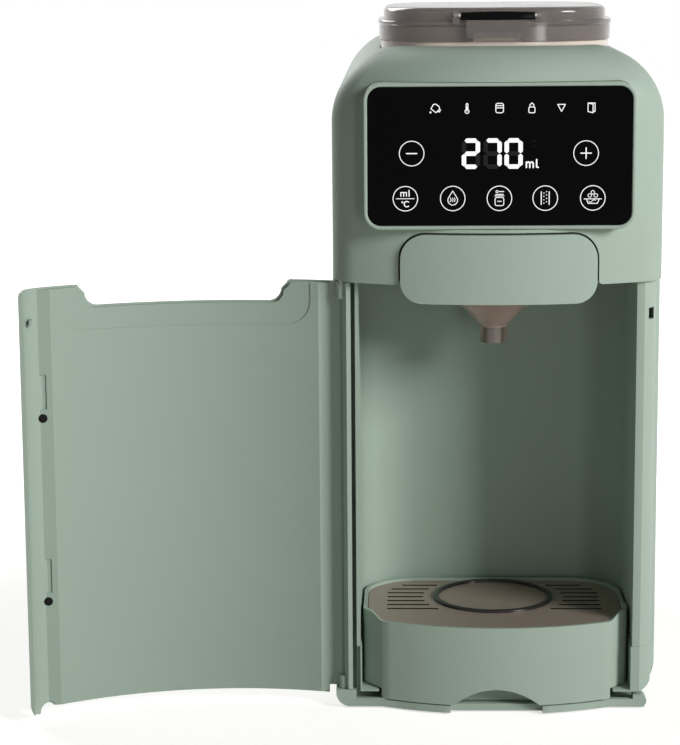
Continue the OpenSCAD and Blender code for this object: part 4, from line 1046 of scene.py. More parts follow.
@dataclass
class DisplayMarks:
    """The lit and unlit marks on the display glass."""

    shop: Workshop
    face: float = -148.4
    depth: float = 0.05
    line: float = 0.42
    key_r: float = 6.75
    key_z: float = 289.2
    key_x: tuple[float, ...] = (-50.0, -24.8, 0.0, 24.3, 49.5)
    lift: float = 0.005
    icon: float = 0.8
    icon_z: float = 337.0
    bar_l: float = 6.7
    bar_t: float = 2.35
    digit_w: float = 9.7
    digit_z0: float = 304.9
    digit_z1: float = 321.1
    digit_x: tuple[float, float, float] = (-15.2, -3.7, 7.4)

    def _flat(self, outline: Sequence[Point2]) -> Shape:
        """A thin filled mark from its outline in the plane of the glass."""
        return Shape.prism(outline, self.face - self.depth, self.face - self.lift, Axis.Y)

    def _stroke(
        self, points: Sequence[Point2], width: float = 0.0, closed: bool = False
    ) -> list[Shape]:
        """A line of even width through the points.

        Args:
            points: The line's points.
            width: Its width, or 0 for the usual one.
            closed: True joins the last point to the first.

        Returns:
            One thin solid for each stretch.
        """
        half = (width or self.line) / 2
        ends = list(points) + ([points[0]] if closed else [])
        made = []
        for (x0, z0), (x1, z1) in zip(ends, ends[1:]):
            length = math.hypot(x1 - x0, z1 - z0)
            ux, uz = (x1 - x0) / length * half, (z1 - z0) / length * half
            a, c = math.degrees(math.atan2(uz, ux)), math.degrees(math.atan2(-uz, -ux))
            far_end = arc(x1, z1, half, a - 90, a + 90, 30)
            made.append(self._flat(far_end + arc(x0, z0, half, c - 90, c + 90, 30)))
        return made

    def _strokes(self, lines: Iterable[Line]) -> list[Shape]:
        """The thin solids of several lines, each with its width and whether it is closed."""
        made: list[Shape] = []
        for points, width, closed in lines:
            made += self._stroke(points, width, closed)
        return made

    def _turn(
        self, points: Sequence[Point2], cx: float, cz: float, angle: float = 0.0
    ) -> list[Point2]:
        """Turns points about the origin and puts them round a centre."""
        c, s = math.cos(math.radians(angle)), math.sin(math.radians(angle))
        return [(cx + x * c - z * s, cz + x * s + z * c) for x, z in points]

    def top_row(self) -> list[Shape]:
        """Jug, thermometer, jar, bottle, triangle and door."""
        jug = [(-2.2, -2.0), (2.0, -2.0), (2.6, 1.2), (1.2, 2.4), (-1.6, 2.4), (-2.6, 1.2)]
        icons: list[tuple[float, float, list[tuple[list[Point2], bool]]]] = [
            (-34.0, -38, [(jug, True), ([(2.4, -0.8), (3.5, -0.2), (3.3, 1.4)], False)]),
            (
                -17.3, 0,
                [
                    (arc(0, -2.1, 1.3, 115, 425, 20) + [(0.6, 2.6), (0, 3.2), (-0.6, 2.6)], True),
                    ([(0, -2.0), (0, 0.8)], False)
                ]
            ),
            (
                -0.1, 0,
                [
                    (rounded(-2.5, 2.5, -3.1, 3.1, 1.2, 30), True),
                    ([(-2.4, 1.6), (2.4, 1.6)], False), ([(-2.4, 0.1), (2.4, 0.1)], False)
                ]
            ),
            (
                16.9, 0,
                [
                    (rounded(-2.0, 2.0, -3.2, 0.6, 0.7, 45), True),
                    ([(-1.4, 0.8), (-1.2, 2.2), (0, 3.3), (1.2, 2.2), (1.4, 0.8)], False)
                ]
            ),
            (32.5, 0, [([(-2.5, 2.2), (2.5, 2.2), (0, -2.4)], True)]),
            (
                48.3, 0,
                [
                    ([(2.3, 3.0), (2.3, -2.6), (1.1, -2.6)], False),
                    ([(-2.3, 3.0), (-2.3, -2.6), (1.0, -3.4), (1.0, 2.2)], True),
                    ([(-2.3, 3.0), (2.3, 3.0)], False)
                ]
            ),
        ]
        made = [self._flat(arc(-36.6, 334.9, 0.5, 0, 360, 30)[:-1])]
        for cx, angle, lines in icons:
            for points, closed in lines:
                small = [(x * self.icon, z * self.icon) for x, z in points]
                made += self._stroke(self._turn(small, cx, self.icon_z, angle), 0.46, closed)
        return made

    def digits(self) -> tuple[Shape, Shape]:
        """Seven-segment figures that read 270, made of one bar set on every place.

        Returns:
            The lit segments and the faint unlit ones.
        """
        half, thick = self.bar_l / 2, self.bar_t / 2
        nose = thick * 0.8
        bar = [
            (-half + nose, -thick), (half - nose, -thick), (half, 0.0), (half - nose, thick),
            (-half + nose, thick), (-half, 0.0)
        ]
        part = [Shape.prism(bar, -self.depth, 0.0, Axis.Y) for _ in range(2)]
        mid, high = (self.digit_z0 + self.digit_z1) / 2, (self.digit_z1 - self.digit_z0) / 2 - thick
        wide = self.digit_w / 2 - thick
        places = {
            "a": (0.0, high, 0), "g": (0.0, 0.0, 0), "d": (0.0, -high, 0),
            "f": (-wide, high / 2, 1), "b": (wide, high / 2, 1),
            "e": (-wide, -high / 2, 1), "c": (wide, -high / 2, 1),
        }
        rows: dict[bool, list[tuple[Point3, Point3]]] = {True: [], False: []}
        for figure, centre in zip(("abged", "abc", "abcdef"), self.digit_x):
            for key, (x, z, upright) in places.items():
                turn = (0.0, math.radians(90.0) if upright else 0.0, 0.0)
                rows[key in figure].append(((centre + x, self.face - self.lift, mid + z), turn))
        made = []
        for shape, lit in zip(part, (True, False)):
            look = self.shop.palette.get(Look.LIT if lit else Look.UNLIT)
            made.append(
                self.shop.repeater.spread(
                    shape, [p for p, _ in rows[lit]], look, [t for _, t in rows[lit]]
                )
            )
        return made[0], made[1]

    def units(self) -> tuple[list[Shape], list[Shape]]:
        """The small ml beside the figures, lit, and the degree sign with C, unlit."""
        z, x = 305.5, 14.2
        lit: list[Line] = [
            ([(x, z), (x, z + 3.0)], 0.75, False),
            ([(x, z + 2.4), (x + 1.2, z + 3.0), (x + 1.8, z + 2.4), (x + 1.8, z)], 0.75, False),
            (
                [(x + 1.8, z + 2.4), (x + 3.0, z + 3.0), (x + 3.6, z + 2.4), (x + 3.6, z)], 0.75,
                False
            ),
            ([(x + 5.4, z + 4.2), (x + 5.4, z + 0.3), (x + 6.2, z + 0.1)], 0.8, False),
        ]
        dark: list[Line] = [
            (arc(14.6, 319.6, 0.6, 0, 360, 30)[:-1], 0.35, True),
            (arc(17.8, 318.2, 1.8, 50, 310, 20), 0.6, False),
        ]
        return self._strokes(lit), self._strokes(dark)

    def keys(self) -> tuple[list[Shape], Shape]:
        """The touch keys: what stands in them, and their rings.

        Returns:
            The marks inside the keys, and one mesh with all the rings.
        """
        z, plus_x, plus_z = self.key_z, 45.7, 313.0
        places = [(-46.6, 313.2), (plus_x, plus_z)] + [(x, z) for x in self.key_x]
        outer = arc(0, 0, self.key_r, 0, 360, 6)[:-1]
        inner = arc(0, 0, self.key_r - self.line, 0, 360, 6)[:-1]
        front, back = -self.depth, 0.0
        turns = ((outer, front), (outer, back), (inner, back), (inner, front))
        ring = Shape.loft([[(x, y, up) for x, up in points] for points, y in turns], closed=True)
        spots = [(x, self.face - self.lift, up) for x, up in places]
        rings = self.shop.repeater.spread(ring, spots, self.shop.palette.get(Look.LIT))
        minus_plus: list[Line] = [
            ([(-49.3, 313.2), (-43.9, 313.2)], 0.6, False),
            ([(plus_x - 2.8, plus_z), (plus_x + 2.8, plus_z)], 0.6, False),
            ([(plus_x, plus_z - 2.8), (plus_x, plus_z + 2.8)], 0.6, False),
        ]
        unit_key: list[Line] = [
            ([(-54.8, z), (-45.2, z)], 0.36, False),
            ([(-52.4, z + 1.3), (-52.4, z + 3.3), (-50.9, z + 3.3), (-50.9, z + 1.3)], 0.5, False),
            ([(-50.9, z + 3.3), (-49.4, z + 3.3), (-49.4, z + 1.3)], 0.5, False),
            ([(-48.0, z + 1.3), (-48.0, z + 4.4)], 0.55, False),
            (arc(-51.6, z - 1.9, 0.4, 0, 360, 45)[:-1], 0.3, True),
            (arc(-49.2, z - 2.9, 1.45, 50, 310, 30), 0.55, False),
        ]
        drop_key: list[Line] = [
            ([(-24.8, z + 4.0)] + arc(-24.8, z - 0.9, 2.6, 32, -212, 20), 0.0, True)
        ]
        for x in (-25.9, -24.8, -23.7):
            drop_key.append(
                ([(x - 0.3, z - 1.7), (x + 0.25, z - 0.7), (x - 0.2, z + 0.3)], 0.36, False)
            )
        bottle_key: list[Line] = [
            (rounded(-2.3, 2.3, z - 3.9, z + 0.5, 0.9, 30), 0.0, True),
            ([(-2.4, z + 1.3), (2.4, z + 1.3)], 0.0, False),
            ([(-2.0, z + 2.1), (2.0, z + 2.1)], 0.0, False),
            (arc(-1.3, z + 3.6, 0.6, 0, 360, 45)[:-1], 0.36, True),
            ([(-0.7, z + 3.6), (2.3, z + 3.6)], 0.0, False),
            ([(-1.0, z - 1.6), (1.0, z - 1.6)], 0.0, False),
        ]
        powder_key: list[Line] = [([(x, z - 3.4), (x, z + 3.4)], 0.5, False) for x in (22.2, 26.4)]
        steam_key: list[Line] = [
            ([(44.9, z - 0.5), (54.1, z - 0.5)], 0.0, False),
            ([(46.2, z - 0.7), (47.0, z - 2.9), (52.0, z - 2.9), (52.8, z - 0.7)], 0.0, False),
            (
                arc(48.2, z - 1.4, 0.9, 200, 340, 35) + arc(50.2, z - 2.0, 1.0, 150, 40, 35), 0.32,
                False
            ),
        ]
        for x, rise in ((47.9, 1.3), (51.1, 1.3), (49.5, 3.0)):
            steam_key.append((arc(x, z + rise, 0.95, 0, 360, 30)[:-1], 0.34, True))
        made = self._strokes(minus_plus + unit_key + drop_key + bottle_key + powder_key)
        columns = ((23.6, 0.0), (25.0, 0.8))
        dots = [(x, z - 2.7 + 1.8 * i + rise) for x, rise in columns for i in range(4)]
        made += [self._flat(arc(x, y, 0.3, 0, 360, 45)[:-1]) for x, y in dots]
        made += self._strokes(steam_key)
        return made, rings

    def build(self) -> None:
        """Makes one lit piece and one unlit piece."""
        lit, dark = self.digits()
        more_lit, more_dark = self.units()
        in_keys, rings = self.keys()
        lit.beside(rings, *more_lit, *in_keys, *self.top_row())
        self.shop.piece("display_lit_marks", lit, Look.LIT, body="machine", bevel=0)
        self.shop.piece(
            "display_unlit_marks", dark.beside(*more_dark), Look.UNLIT, body="machine", bevel=0
        )


@dataclass
class Housing:
    """Base, tub, main housing, chamber and rear cover."""

    shop: Workshop

    def build(self) -> None:
        """Makes the pieces of the housing."""
        for node, bevel in (
            ("base_plate", 0.4), ("base_tub", 0.6), ("body_shell", 0.6), ("rear_cover", 0.6),
            ("drawer_rails", 0.3)
        ):
            self.shop.refine(node, Look.GREEN, bevel)
        for node, bevel in (
            ("chamber_liner", 0.3), ("head_floor", 0.3), ("drive_deck", 0.4), ("tank_dock", 0.4)
        ):
            self.shop.refine(node, Look.INNER, bevel)
        self.shop.refine("base_feet", Look.RUBBER, 0.6)


@dataclass
class Door:
    """The hinged door, open as the frame has it."""

    shop: Workshop
    body: Body = field(default_factory=Body)
    skin: float = 2.4
    thick: float = 5.5
    z0: float = 6.2
    z1: float = 241.3
    lip: float = 1.4
    corner_r: float = 11.0
    notch_w: float = 56.0
    notch_h: float = 11.8
    stub_x: float = 80.7
    stub_z: float = 4.5
    stub_r: float = 3.5
    lug_z: float = 10.7
    knuckle_h: float = 7.0
    pin_r: float = 1.3
    skin_left: float = -119.02
    skin_right: float = -114.02
    liner_end: float = -129.42
    magnet_x: float = 78.6
    magnet_y: float = -130.92
    magnet_r: float = 2.5
    magnet_z: tuple[float, float] = (66.3, 169.5)
    slot_z: float = 220.4
    opened: float = 171.0
    crease: float = 13.0
    trim: float = 0.03
    knuckle_r: float = 2.7
    liner_bore: float = 4.2
    channel: float = 2.4
    tab: tuple[float, float, float] = (1.6, 7.5, 3.2)

    def front(self, inset: float) -> Shape:
        """The door seen from the front, as a solid drawn out through its bow.

        Args:
            inset: Distance inside the door's edge.

        Returns:
            The closed solid.
        """
        b, d, w = self.body, inset, self.body.half_width
        z0, z1, zn = self.z0 + d, self.z1 - d, self.z1 - self.notch_h - d
        around, low = self.stub_r + 0.35, self.lip + self.corner_r
        left = -b.chamber_half - b.liner
        bite = math.degrees(math.asin((self.z0 - self.stub_z) / around))
        reach = self.stub_x + around + 0.3 - w + self.corner_r
        corner = math.degrees(math.asin(reach / self.corner_r))
        outline = (
            [(-w - 1, z1), (-w - 1, self.lug_z + 0.4), (left, self.lug_z + 0.4), (left, z0)]
            + arc(self.stub_x, self.stub_z, around + d, 180 - bite, 0, 6)
            + arc(w - self.corner_r, low, self.corner_r - d, 270 + corner, 360, 4)
            + arc(w - d - 3, z1 - 3, 3, 0, 90, 9)
            + arc(self.notch_w + 3 + d, z1 - 2, 2, 90, 170, 15)
            + arc(self.notch_w - 9 + d, zn + 7, 7, 360, 270, 5)
            + arc(-self.notch_w + 9 - d, zn + 7, 7, 270, 180, 5)
            + arc(-self.notch_w - 3 - d, z1 - 2, 2, 10, 90, 15)
        )
        return Shape.prism(outline, b.front - 5, b.corner_y + 5, Axis.Y)

    def panel(self, outer: float, inner: float, left: float, right: float) -> Shape:
        """The bowed sheet between two depths under the body's face.

        Args:
            outer: Depth of its outer face.
            inner: Depth of its inner face.
            left: Y where it ends at the hinge.
            right: Y where it ends at the free edge.

        Returns:
            The closed solid, over the door's whole height.
        """
        b = self.body
        sheet = Shape.prism(b.outline(outer, 1.2), 0, b.head_floor)
        sheet.minus(Shape.prism(b.outline(inner, 1.2), -1, b.head_floor + 1))
        return sheet.minus(block(-FAR, 0, left, FAR, -2, FAR), block(-1, FAR, right, FAR, -2, FAR))

    def bores(self) -> list[Shape]:
        """Tools for the magnets' bores."""
        ends = self.magnet_y, self.liner_end + 1
        return [
            Shape.prism(arc(self.magnet_x, z, self.magnet_r, 0, 360, 7.5)[:-1], *ends, Axis.Y)
            for z in self.magnet_z
        ]

    def post(self, r: float, z0: float, z1: float) -> Shape:
        """A round post on the hinge's axis."""
        b = self.body
        return Shape.prism(arc(b.hinge_x, b.hinge_y, r, 0, 360, 7.5)[:-1], z0, z1)

    def swing(self) -> Matrix:
        """The turn about the hinge from closed to the frame's open door."""
        hinge = Matrix.Translation((self.body.hinge_x, self.body.hinge_y, 0))
        return hinge @ Matrix.Rotation(math.radians(-self.opened), 4, "Z") @ hinge.inverted()

    def build(self) -> None:
        """Makes the pieces of the door."""
        b = self.body
        skin = self.panel(self.trim, self.skin, self.skin_left, self.skin_right)
        skin.within(self.front(0.0))
        top = self.z1 - self.knuckle_h - 2
        for z0, z1 in ((self.lug_z + 0.4, self.lug_z + 0.4 + self.knuckle_h), (top, self.z1)):
            knuckle = self.post(self.knuckle_r, z0, z1)
            skin.plus(knuckle.within(Shape.prism(b.outline(0.0), z0 - 1, z1 + 1)))
        x, y, z = b.corner_x + 13, b.wall_front + 1.5, self.slot_z + 1.6
        skin.plus(block(x, x + self.tab[0], y, y + self.tab[1], z, z + self.tab[2]))
        skin.minus(self.post(self.pin_r, -1, FAR), *self.bores())
        self.shop.piece(
            "door_outer_skin", skin.moved(self.swing()), Look.GREEN, ["door_skin"], bevel=0.6,
            smooth=24, segments=3
        )

        liner = self.panel(self.skin, self.thick, self.liner_end, self.liner_end)
        liner.within(self.front(1.0))
        left, right = self.magnet_x - self.channel, self.magnet_x + self.channel
        low = self.liner_end - 0.8
        hollow = [block(left, right, low, FAR, z + 5, z + 24) for z in self.magnet_z]
        liner.minus(*self.bores(), *hollow, self.post(self.liner_bore, 0, FAR), self.crease_tool())
        self.shop.piece(
            "door_inner_liner", liner.moved(self.swing()), Look.INNER, ["door_liner"], bevel=0.45,
            smooth=22, segments=3
        )

        magnet = Shape.prism(
            arc(0, 0, self.magnet_r, 0, 360, 10)[:-1], self.magnet_y, self.liner_end - 0.1, Axis.Y
        )
        pair = self.shop.repeater.spread(
            magnet, [(self.magnet_x, 0, z) for z in self.magnet_z],
            self.shop.palette.get(Look.MAGNET)
        )
        self.shop.piece(
            "door_magnet_pair", pair.moved(self.swing()), Look.MAGNET, ["door_magnets"], bevel=0.2
        )

    def crease_tool(self) -> Shape:
        """The shallow step of the inner panel round the notch."""
        b, w, low = self.body, self.notch_w + self.crease, self.z1 - self.notch_h - self.crease
        sheet = Shape.prism(b.outline(self.thick - 0.45, 1.2), 200, 300)
        band = arc(w - 14, low + 14, 14, 360, 270, 5) + arc(14 - w, low + 14, 14, 270, 180, 5)
        return sheet.within(
            Shape.prism([(-w, 280)] + band[::-1] + [(w, 280)], b.front - 5, b.corner_y + 5, Axis.Y)
        )


@dataclass
class Drawer:
    """The dosing drawer with its funnel."""

    shop: Workshop
    body: Body = field(default_factory=Body)
    half: float = 52.9
    z0: float = 232.3
    z1: float = 269.6
    back: float = -140.5
    tip: float = 209.0
    carrier_top: float = 260.5
    funnel_r: float = 39.0
    throat: float = 4.5
    low_r: float = 11.7
    high_r: float = 13.8
    edge: float = 2.4
    face_wall: float = 3.0

    def outline(self, inset: float) -> list[Point2]:
        """The drawer's face seen from the front, a distance inside its edge."""
        w, r0, r1 = self.half, self.low_r, self.high_r
        low, high = self.z0 + r0, self.z1 - r1
        return (
            arc(w - r0, low, r0 - inset, 270, 360, 4) + arc(w - r1, high, r1 - inset, 0, 90, 4)
            + arc(r1 - w, high, r1 - inset, 90, 180, 4) + arc(r0 - w, low, r0 - inset, 180, 270, 4)
        )

    def bowed(self, face: float) -> Shape:
        """What lies behind a bowed face that is furthest forward at one depth."""
        bow = arc(0, face + self.body.bow, self.body.bow, 253.5, 286.5, 1)
        ends = [(bow[-1][0], self.back + 2), (bow[0][0], self.back + 2)]
        return Shape.prism(bow + ends, self.z0 - 2, self.z1 + 2)

    def build(self) -> None:
        """Makes the pieces of the drawer."""
        face = self.body.front - 2
        front = Shape.prism(self.outline(0.0), face - 1, self.back, Axis.Y).within(self.bowed(face))
        inside = Shape.prism(self.outline(self.edge), face, self.back + 1, Axis.Y)
        front.minus(inside.within(self.bowed(face + self.face_wall)))
        self.shop.piece(
            "drawer_face", front, Look.GREEN, ["drawer_front"], bevel=1.1, smooth=30, segments=4
        )
        self.shop.refine("drawer_carrier", Look.INNER, 0.3)
        r, z, top = self.funnel_r, self.body.head_floor, self.carrier_top
        profile = [
            (self.throat, self.tip), (8, self.tip), (8.2, self.tip + 1), (19, self.tip + 12),
            (r - 1, z), (r, top), (r + 3, top), (r + 3, top + 1.5), (r - 1.4, top + 1.5),
            (r - 2.4, z + 0.4), (17.6, self.tip + 13), (self.throat, self.tip + 3.5),
        ]
        funnel = Shape.turned(profile, 0, self.body.funnel_y)
        self.shop.piece(
            "mixing_funnel_clear", funnel, Look.FUNNEL, ["mixing_funnel"], bevel=0.2, smooth=20
        )
        self.shop.refine("funnel_outlet", Look.TIP, 0.25)


@dataclass
class Hopper:
    """The powder hopper, its lid and latch, and what turns in it."""

    shop: Workshop
    body: Body = field(default_factory=Body)
    half: float = 63.7
    rim: float = 61.5
    long: float = 3.0
    lid_z0: float = 370.4
    step_z: float = 379.0
    flange_z: float = 381.3
    top_z: float = 388.5
    edge_r: float = 3.0
    pivot_y: float = 26.7
    pivot_z: float = 374.5
    latch_w: float = 20.0
    latch_y: float = -112.4
    latch_z: float = 384.3
    latch_r: float = 2.35
    knuckle: tuple[float, float] = (11.4, 23.0)
    knuckle_r: float = 3.0
    pin_bore: float = 1.3
    latch_bore: float = 1.0

    def ring(self, a: float, z: float) -> list[Point3]:
        """The hopper's outline of half width a at one height."""
        return [(x, y, z) for x, y in superellipse(a, a + self.long, self.body.hopper_y)]

    def rod(self, y: float, z: float, half: float, r: float, x: float = 0.0) -> Shape:
        """A round bar along X."""
        return Shape.prism(arc(y, z, r, 0, 360, 12)[:-1], x - half, x + half, Axis.X)

    def lid(self) -> None:
        """The smoky lid: skirt, flange and plateau with its rounded edge, knuckles and ears."""
        a, r = self.half, self.edge_r
        steps = [
            (a + 0.9, self.lid_z0), (a + 0.9, self.step_z), (a + 1.3, self.step_z),
            (a + 1.5, self.step_z + 0.3), (a + 1.5, self.flange_z - 0.6),
            (a + 1.2, self.flange_z - 0.1), (a + 0.8, self.flange_z), (a - 1.7, self.flange_z),
        ]
        for i in range(7):
            t = math.radians(15 * i)
            steps.append((a - 1.7 - r * (1 - math.cos(t)), self.top_z - r * (1 - math.sin(t))))
        lid = Shape.loft([self.ring(w, z) for w, z in steps])
        hollow = [
            (self.rim + 0.7, self.lid_z0 - 1), (self.rim + 0.7, self.step_z),
            (self.rim - 1.5, self.step_z), (self.rim - 1.5, self.top_z - 2)
        ]
        lid.minus(
            Shape.loft([self.ring(w, z) for w, z in hollow]),
            block(-FAR, FAR, 7, FAR, 0, self.pivot_z - 1.5)
        )
        for side in (-1, 1):
            x0, x1 = sorted(side * x for x in self.knuckle)
            lid.plus(self.rod(self.pivot_y, self.pivot_z, 5.8, self.knuckle_r, side * 17.2))
            low, high = self.pivot_z - 2.98, self.pivot_z + 2.98
            lid.plus(block(x0, x1, self.pivot_y - 4.6, self.pivot_y, low, high))
            x0, x1 = sorted((side * (self.latch_w + 1), side * (self.latch_w + 4)))
            lid.plus(
                block(x0, x1, self.latch_y - 2, self.latch_y + 4, self.step_z + 1, self.latch_z + 2)
            )
        behind = self.body.hopper_y - self.rim + 2
        lid.minus(
            block(-13, 13, self.latch_y - 9, behind, 0, self.body.top + 7.5),
            self.rod(self.pivot_y, self.pivot_z, 24, self.pin_bore),
            self.rod(self.latch_y, self.latch_z, 25, self.latch_bore),
        )
        self.shop.piece("hopper_lid_smoky", lid, Look.LID, ["hopper_lid"], bevel=0.35, smooth=28)

    def latch(self) -> None:
        """The latch: a bowed gloss bar on top and the smoky flap with its hook below."""
        y, z, r = self.latch_y, self.latch_z, self.latch_r
        rings = []
        for i in range(21):
            x = self.latch_w * (i / 10 - 1)
            bow = (x / self.latch_w) ** 2
            near, high = y - 4.2 + 1.1 * bow, z + r - 0.5 * bow
            corners = [(near, z - 2.3), (y, z - 2.3), (y + r, z - 1.2)]
            corners += [(y + r, z + 1.2), (y, high), (near, high)]
            rings.append([(x, b, c) for b, c in softened(corners, 1.3)])
        bar = Shape.loft(rings).minus(self.rod(y, z, self.latch_w + 1, 1.05))
        self.shop.piece("latch_bar", bar, Look.GLOSS, ["lid_latch"], bevel=0.3, smooth=40)
        low = self.body.top + 4.2
        flat = softened([(-17, low), (17, low), (17, z - 2.35), (-17, z - 2.35)], 1.5)
        flap = Shape.prism(flat, y - 4.2, y - 2.4, Axis.Y)
        flap.plus(block(-10, 10, y - 2.6, y - 1.2, low, low + 1.4))
        self.shop.piece("latch_flap", flap, Look.LID, ["lid_latch"], bevel=0.3)

    def build(self) -> None:
        """Makes the pieces of the hopper."""
        self.shop.refine("hopper_body", Look.PALE, 0.3)
        self.lid()
        self.latch()
        self.shop.refine("scraper_plate", Look.SMOKE, 0.2)
        for node in ("metering_wheel", "stirrer", "drive_gear", "motor_pinion"):
            self.shop.refine(node, Look.IVORY, 0.2)
        for node in ("lid_hinge_pin", "latch_pin", "shaft_bush", "dosing_motor"):
            self.shop.refine(node, Look.STEEL, 0.2)
        for node in ("hopper_seal", "lid_seal"):
            self.shop.refine(node, Look.RUBBER, 0.2)


@dataclass
class Tray:
    """The drip tray, its plate and the coaster ring."""

    shop: Workshop
    body: Body = field(default_factory=Body)
    front: float = -143.0
    block_w: float = 64.0
    bow: float = 150.0
    half: float = 74.3
    side: float = -115.02
    back: float = -39.0
    bottom: float = 11.5
    skirt: float = 5.7
    low_rim: float = 50.3
    high_rim: float = 54.0
    back_fall: float = 2.6
    wall: float = 2.2
    arch_w: float = 23.7
    arch_h: float = 9.2
    plate_z: float = 48.4
    plate_t: float = 1.5
    ring_y: float = -76.3
    ring_r: float = 34.5
    slots: int = 8
    pitch: float = 8.3
    slot: float = 2.3
    slot_end: float = 61.0
    corner_r: float = 30.5
    ring_w: float = 3.2

    def plan(self, d: float) -> list[Point2]:
        """The tray seen from above, a distance inside its wall's outer face."""
        w, edge, wall_y = self.half - d, self.block_w - 4 - d, self.body.wall_front
        xs = [edge * i / 14 for i in range(-14, 15) if abs(i) != 13 and abs(i) != 12]
        bow = [(x, self.front + self.bow - math.sqrt((self.bow - d) ** 2 - x**2)) for x in xs]
        r = self.corner_r - d
        right = [(self.block_w - d * 0.9, wall_y + 1 + d * 0.5), (w, self.side + d * 0.4)]
        right += arc(w - r, self.back - d - r, r, 0, 90, 3)
        return softened(bow + right + [(-x, y) for x, y in reversed(right)], 9.0)

    def rim_tool(self) -> Shape:
        """What lies above the rims: low over the front block, an S up to the sides."""
        b, rise, climb = self.block_w, [], self.high_rim - 0.02 - self.low_rim
        for i in range(13):
            t = i / 12
            rise.append((b - 1 + 7.5 * t, self.low_rim + climb * (3 * t**2 - 2 * t**3)))
        edge = rise + [(self.half + 2, self.high_rim)]
        above = [(self.half + 2, FAR), (-self.half - 2, FAR)]
        outline = edge + above + [(-x, z) for x, z in reversed(edge)]
        return Shape.prism(outline, self.body.front - 1, self.side + 6, Axis.Y)

    def back_tool(self) -> Shape:
        """What lies above the rim as it falls towards the back."""
        fall = []
        for i in range(9):
            drop = self.back_fall * (1 - math.cos(math.pi * i / 8)) / 2
            fall.append((self.side + 6 + 20 * i / 8, self.high_rim + 0.02 - drop))
        above = [(self.back + 5, fall[-1][1]), (self.back + 5, FAR), (fall[0][0], FAR)]
        return Shape.prism(fall + above, -100, 100, Axis.X)

    def arch(self, grow: float, y1: float) -> Shape:
        """The arch for the finger under the tray's front."""
        w, h = self.arch_w + grow, self.arch_h + grow
        top = [(w * i / 20, self.skirt + h * (1 - (i / 20) ** 2) + 0.2) for i in range(20, -21, -1)]
        return Shape.prism([(-w, 0), (w, 0)] + top, self.body.front, y1, Axis.Y)

    def tray(self) -> None:
        """The tray itself with its skirt, finger arch and rests."""
        front, wall_y = self.body.front, self.body.wall_front
        tray = Shape.prism(self.plan(0), self.skirt, self.high_rim)
        tray.minus(
            Shape.prism(self.plan(self.wall), self.bottom + self.wall, FAR),
            Shape.prism(self.plan(self.wall), 0, self.bottom),
            block(-FAR, FAR, wall_y + 4, FAR, 0, self.bottom),
            block(self.block_w, FAR, front, wall_y + 5, 0, self.bottom),
            block(-FAR, -self.block_w, front, wall_y + 5, 0, self.bottom),
        )
        arch = self.arch(2.2, self.front + 14)
        tray.plus(arch.within(Shape.prism(self.plan(0.5), self.skirt, FAR)))
        rests = [(x * self.half, y) for x in (-1, 1) for y in (self.side + 8, self.back - 34)]
        for x, y in rests:
            rest = block(x - 5, x + 5, y - 4, y + 4, self.bottom, self.plate_z)
            tray.plus(rest.within(Shape.prism(self.plan(0.5), 0, FAR)))
        tray.minus(self.rim_tool(), self.back_tool(), self.arch(0, self.front + 11.8))
        self.shop.piece(
            "drip_tray_green", tray, Look.GREEN, ["drip_tray"], bevel=0.6, smooth=24, segments=3
        )

    def slot_rows(self) -> Shape:
        """Every slot of the plate, as one tool made of one slot stretched to each length."""
        places, sizes = [], []
        for i in range(self.slots):
            y = self.ring_y + (i - (self.slots / 2 - 1)) * self.pitch
            inner = max(27.0, math.sqrt(max(0.0, (self.ring_r + 6) ** 2 - (y - self.ring_y) ** 2)))
            outer = min(self.slot_end, self.half - 13 - max(0.0, y - (self.back - 24)) * 0.75)
            for side in (-1, 1):
                places.append((side * (inner + outer) / 2, y, self.plate_z))
                sizes.append((outer - inner, 1.0, 1.0))
        unit = block(-0.5, 0.5, -self.slot / 2, self.slot / 2, -1, self.plate_t + 1)
        return self.shop.repeater.spread(
            unit, places, self.shop.palette.get(Look.PLATE), stretches=sizes
        )

    def in_slot(self, centre: Vector, normal: Vector) -> bool:
        """Whether an upright face of the plate is a slot's wall, which gets the painted shade, not
        the plate's own edge.
        """
        near = self.back - 80 < centre.y < self.ring_y + 34
        return abs(normal.z) < 0.3 and abs(centre.x) < self.slot_end + 0.1 and near

    def build(self) -> None:
        """Makes the pieces of the tray."""
        self.tray()
        top, r = self.plate_z + self.plate_t, self.ring_r
        plate = Shape.prism(self.plan(self.wall + 0.4), self.plate_z, top).minus(self.slot_rows())
        # The slot walls get near-black painted shade in place of the plate's metal.
        inlay = (Look.SLOT_SHADE, self.in_slot)
        self.shop.piece(
            "drip_plate_slotted", plate, Look.PLATE, ["drip_plate"], bevel=0.08, inlay=inlay
        )
        inner = r - self.ring_w
        profile = [
            (inner, top - 0.3), (r, top - 0.3), (r, top + 1.1), (r - 0.5, top + 1.5),
            (inner + 0.5, top + 1.5), (inner, top + 1.1)
        ]
        ring = Shape.turned(profile, 0, self.ring_y)
        self.shop.piece("coaster_ring", ring, Look.RING, ["drip_plate"], bevel=0.15, smooth=50)


@dataclass
class WaterSystem:
    """Tank, pump, heater and hoses."""

    shop: Workshop

    def build(self) -> None:
        """Makes the pieces of the water system."""
        self.shop.refine("tank_body", Look.SMOKE, 0.5)
        self.shop.refine("tank_lid", Look.GREEN, 0.6)
        for node in ("tank_valve", "water_pump", "power_inlet", "door_switch"):
            self.shop.refine(node, Look.BLACK, 0.3)
        for node in ("hot_hose", "pump_hose", "suction_hose"):
            self.shop.refine(node, Look.SILICONE, 0.0, smooth=60)
        for node in (
            "valve_poppet", "tank_lid_pins", "hot_water_nozzle", "water_heater", "pump_motor",
            "hinge_pins", "catch_plates", "base_screws", "cover_screws", "board_screws",
        ):
            self.shop.refine(node, Look.STEEL, 0.2)
        for node in ("control_board", "power_board"):
            self.shop.refine(node, Look.BOARD, 0.1)


# ---- floor, light and camera ---------------------------------------------------------------


